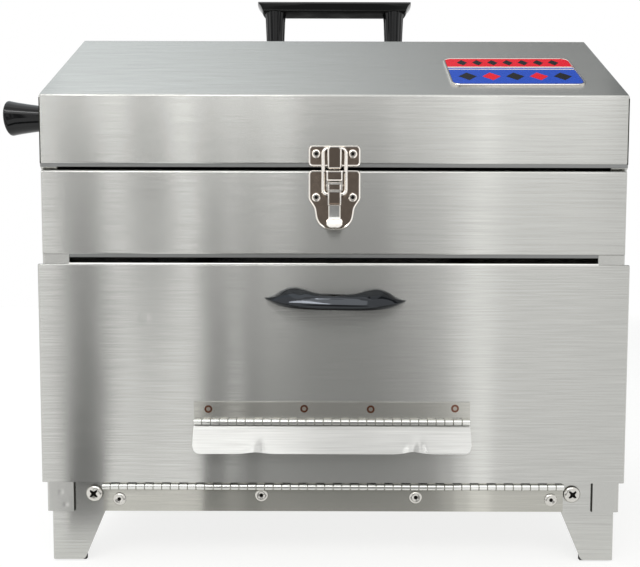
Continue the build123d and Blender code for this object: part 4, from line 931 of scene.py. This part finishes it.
trim("return_edge_shadow_strips",
     [slab((x - 0.28, 1.25, 38.3), (x + 0.28, 2.36, 59.5), 0.05) for x in (-193.1, 193.1)],
     edge_shadow, "body")

# Foot pads: rubber angle strips inside the corner of each foot
PAD_OUTER_X, PAD_INNER_X = 209.6, 186.2
PAD_FRONT, PAD_BACK = 4.9, 28.4
PAD_THICK, PAD_TALL = 3.4, 5.0
PAD_CORNERS = ((PAD_OUTER_X, PAD_FRONT), (PAD_INNER_X, PAD_FRONT), (PAD_INNER_X, PAD_FRONT + PAD_THICK),
               (PAD_OUTER_X - PAD_THICK, PAD_FRONT + PAD_THICK), (PAD_OUTER_X - PAD_THICK, PAD_BACK),
               (PAD_OUTER_X, PAD_BACK))
pads = []
for side in (-1, 1):
    for mirrored in (False, True):
        flat = [(side * x, DEPTH - y if mirrored else y) for x, y in PAD_CORNERS]
        pads.append(loft([[spot(x, y, up) for x, y in flat] for up in (0.0, PAD_TALL)]))
dress("foot_pad_strips", pads, [rubber], "foot_pads", "body")


# Grates: round bright wire. These are the radii of wires and bars, and how far in the bars lie.
WIRE, BAR = 2.2, 3.0
BAR_INSET = 8.0


def wire_grate(name, node_name, wires):
    """Wires from side to side welded on two bars, laid out inside the CAD grate's own box."""
    low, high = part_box(node_name)
    parts = []
    for i in range(wires):
        y = low.y + BAR * MM + (high.y - low.y - 2 * BAR * MM) * i / (wires - 1)
        z = high.z - WIRE * MM
        parts.append(loft(tube([Vector((low.x, y, z)), Vector((high.x, y, z))], WIRE, 12)))
    for x in (low.x + BAR_INSET * MM, high.x - BAR_INSET * MM):
        z = low.z + BAR * MM
        parts.append(loft(tube([Vector((x, low.y, z)), Vector((x, high.y, z))], BAR, 12)))
    dress(name, parts, [chrome_wire], node_name, "body")


wire_grate("cooking_grate_wires", "cooking_grate", 17)
wire_grate("charcoal_grate_wires", "charcoal_grate", 10)

# Finishes of the CAD pieces that show as they are
NODE_FINISH = {
    "side_panel_left": stainless_side, "side_panel_right": stainless_side,
    "hood_end_left": stainless_side, "hood_end_right": stainless_side,
    "door_skin": stainless_door, "foot_pads": rubber, "ash_pan": galvanised,
    "hood_hinge_body_leaf": stainless_strip, "hood_hinge_hood_leaf": stainless_strip,
}
FASTENERS = ("leg_nuts", "hood_hinge_body_rivets", "hood_hinge_hood_rivets", "door_pull_screws",
             "carry_handle_screws", "side_knob_screw", "door_hinge_pin", "hood_hinge_pin", "flap_hinge_pin")
for name, cad_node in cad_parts.items():
    made_of = zinc if name in FASTENERS else NODE_FINISH.get(name, stainless)
    cad_node.data.materials.clear()
    cad_node.data.materials.append(made_of)

# Camera: where the photograph was taken from, a little above the middle of the grill's front
CAMERA_AWAY, CAMERA_UP = 520.3, 204.6
CAMERA_DOWN, CAMERA_ROLL = 3.37, -0.15
camera_data = bpy.data.cameras.new("camera")
camera_data.lens = 39.94
camera_data.sensor_width = 36.0
camera_data.shift_x = -0.0214
camera_data.shift_y = 0.0727
camera = placed("camera", camera_data)
camera.location = spot(0.0, -CAMERA_AWAY, CAMERA_UP)
camera.rotation_euler = (math.radians(90 - CAMERA_DOWN), math.radians(CAMERA_ROLL), 0.0)
bpy.context.scene.camera = camera

# White room. The camera, metal and glass see the same plain white in the world and on the floor, and the
# floor keeps the grill's soft shadow.
WHITE = (1.0, 1.0, 1.0, 1.0)
FLOOR_REACH, FLOOR_TOP = 6.0, -0.0005
FLOOR_LIFT = 0.76
ROOM_LEVEL = 0.75


def seen(tree):
    """1 for the rays that show a surface: from the camera, off metal and gloss, or through glass."""
    path = node(tree, "ShaderNodeLightPath")
    mirrored = node(tree, "ShaderNodeMath", {"operation": "MAXIMUM"},
                    links={0: path["Is Glossy Ray"], 1: path["Is Transmission Ray"]})
    return node(tree, "ShaderNodeMath", {"operation": "MAXIMUM"},
                links={0: path["Is Camera Ray"], 1: mirrored["Value"]})["Value"]


def sheet_object(name, points, faces, material):
    """A flat piece of the room, which isn't part of the grill."""
    mesh = bpy.data.meshes.new(name)
    mesh.from_pydata(points, [], faces)
    mesh.materials.append(material)
    made = placed(name, mesh)
    return made


floor_paint, floor_tree, floor_surface = finish("floor_sheet", "#8E8E8B", 0.0, 0.9)
floor_surface.inputs["Emission Color"].default_value = WHITE
lift = node(floor_tree, "ShaderNodeMath", {"operation": "MULTIPLY"}, {1: FLOOR_LIFT}, {0: seen(floor_tree)})
floor_tree.links.new(lift["Value"], floor_surface.inputs["Emission Strength"])
floor_corners = [(x * FLOOR_REACH, y * FLOOR_REACH, FLOOR_TOP)
                 for x, y in ((-1, -1), (1, -1), (1, 1), (-1, 1))]
sheet_object("floor", floor_corners, [(0, 1, 2, 3)], floor_paint)

world = bpy.data.worlds.new("white_room")
world.use_nodes = True
bpy.context.scene.world = world
room = world.node_tree
room.nodes.clear()
lit = node(room, "ShaderNodeBackground", inputs={"Color": WHITE, "Strength": ROOM_LEVEL})
plain = node(room, "ShaderNodeBackground", inputs={"Color": WHITE, "Strength": 1.0})
choice = node(room, "ShaderNodeMixShader",
              links={0: seen(room), 1: lit["Background"], 2: plain["Background"]})
node(room, "ShaderNodeOutputWorld", links={"Surface": choice["Shader"]})

# Screens, as a photographer sets up for steel: upright sheets in front of the grill, each running on
# as a mat along the floor, that the front reflects. They fan out from a point as far behind the front
# as the camera is before it, so that each one shows in the steel as an upright band. The camera
# itself doesn't see them.
FAN_HALF = 42.0
MAT_NEAR = 60.0
SCREEN_FAR = 2400.0
LAYER_GAP = 15.0
# A screen's levels as (ahead of the front, up)
SCREEN_LEVELS = ((MAT_NEAR, 1.0), (SCREEN_FAR, 1.0), (SCREEN_FAR, 520.0), (SCREEN_FAR, 1150.0))


def glow(name, level):
    """A lit cloth of an even brightness."""
    material, tree = blank(name)
    out = node(tree, "ShaderNodeEmission", inputs={"Color": WHITE, "Strength": level})
    node(tree, "ShaderNodeOutputMaterial", links={"Surface": out["Emission"]})
    return material


def screen(name, level, order, *edges):
    """A screen between pairs of bearings in degrees, one pair at each of its levels from the floor
    near the grill to its top. Screens of a higher order stand in front."""
    points = []
    for (ahead, up), pair in zip(SCREEN_LEVELS, edges):
        ahead -= LAYER_GAP * order * (ahead > MAT_NEAR)
        for angle in pair:
            across = math.tan(math.radians(angle)) * (CAMERA_AWAY + ahead)
            points.append(spot(across, -ahead, up + order))
    faces = [(i, i + 1, i + 3, i + 2) for i in range(0, len(points) - 2, 2)]
    sheet_object(name, points, faces, glow(name + "_cloth", level)).visible_camera = False


def upright(name, level, order, centre, half_width):
    """A screen of the same bearings all the way up."""
    screen(name, level, order, *[(centre - half_width, centre + half_width)] * len(SCREEN_LEVELS))


upright("screen_left", 1.12, 1, -FAN_HALF / 2, FAN_HALF / 2)
upright("screen_right", 0.94, 1, FAN_HALF / 2, FAN_HALF / 2)
screen("screen_half_left", 0.78, 2, (-10.6, -5.0), (-9.4, -5.0), (-9.0, -4.0), (-8.0, -3.0))
screen("screen_half_right", 0.58, 2, (5.0, 10.0), (5.5, 9.4), (5.5, 8.6), (5.0, 6.5))
screen("screen_middle", 0.32, 3, (-9.2, 9.2), (-5.4, 5.6), (-3.0, 4.8), (-3.0, 4.2))
screen("screen_high_strip", 0.0, 4, (-14.4, -14.4), (-14.4, -14.4), (-16.2, -12.8), (-16.4, -12.6))
for number, (bearing, half_width, level) in enumerate(
        ((-19.5, 1.4, 0.12), (-9.6, 1.0, 0.2), (-6.6, 0.6, 0.2), (11.9, 0.8, 1.35))):
    upright(f"screen_strip_{number}", level, 4, bearing, half_width)

# Overhead cloth: bright on the left and dim on the right, for the hood's slope
CLOTH_UP, CLOTH_HALF = 2200.0, 3500.0
CLOTH_FRONT, CLOTH_BACK = -300.0, 4500.0
cloth, cloth_tree = blank("overhead_cloth")
place = node(cloth_tree, "ShaderNodeTexCoord")
parts = node(cloth_tree, "ShaderNodeSeparateXYZ", links={"Vector": place["Object"]})
dim = node(cloth_tree, "ShaderNodeMapRange", {"interpolation_type": "SMOOTHERSTEP"},
           {"From Min": -1.3, "From Max": 1.3, "To Min": 1.0, "To Max": 0.2}, {"Value": parts["X"]})
cloth_glow = node(cloth_tree, "ShaderNodeEmission", inputs={"Color": colour("#F4FBFF")},
                  links={"Strength": dim["Result"]})
node(cloth_tree, "ShaderNodeOutputMaterial", links={"Surface": cloth_glow["Emission"]})
cloth_corners = [spot(x, y, CLOTH_UP) for x, y in ((-CLOTH_HALF, CLOTH_FRONT), (CLOTH_HALF, CLOTH_FRONT),
                                                   (CLOTH_HALF, CLOTH_BACK), (-CLOTH_HALF, CLOTH_BACK))]
sheet_object("overhead_cloth", cloth_corners, [(0, 1, 2, 3)], cloth).visible_camera = False


def softbox(name, place, aim, size, brightness):
    """A soft rectangular lamp, placed and aimed in millimetres, of an even surface brightness."""
    lamp = bpy.data.lights.new(name, "AREA")
    lamp.shape = "RECTANGLE"
    lamp.size, lamp.size_y = size[0] * MM, size[1] * MM
    lamp.energy = brightness * math.pi * lamp.size * lamp.size_y
    holder = placed(name, lamp)
    holder.location = spot(*place)
    holder.rotation_euler = (spot(*aim) - holder.location).to_track_quat("-Z", "Y").to_euler()


softbox("overhead", (0, 100, 1700), (0, 150, 250), (1500, 1200), 0.5)
softbox("front_high", (0, -1150, 1150), (0, 0, 110), (1500, 620), 1.3)
softbox("front_strip", (-700, -1300, 1500), (0, 0, 197), (1300, 130), 7.5)

bpy.context.scene.view_settings.view_transform = "Standard"
low, high = cad_box
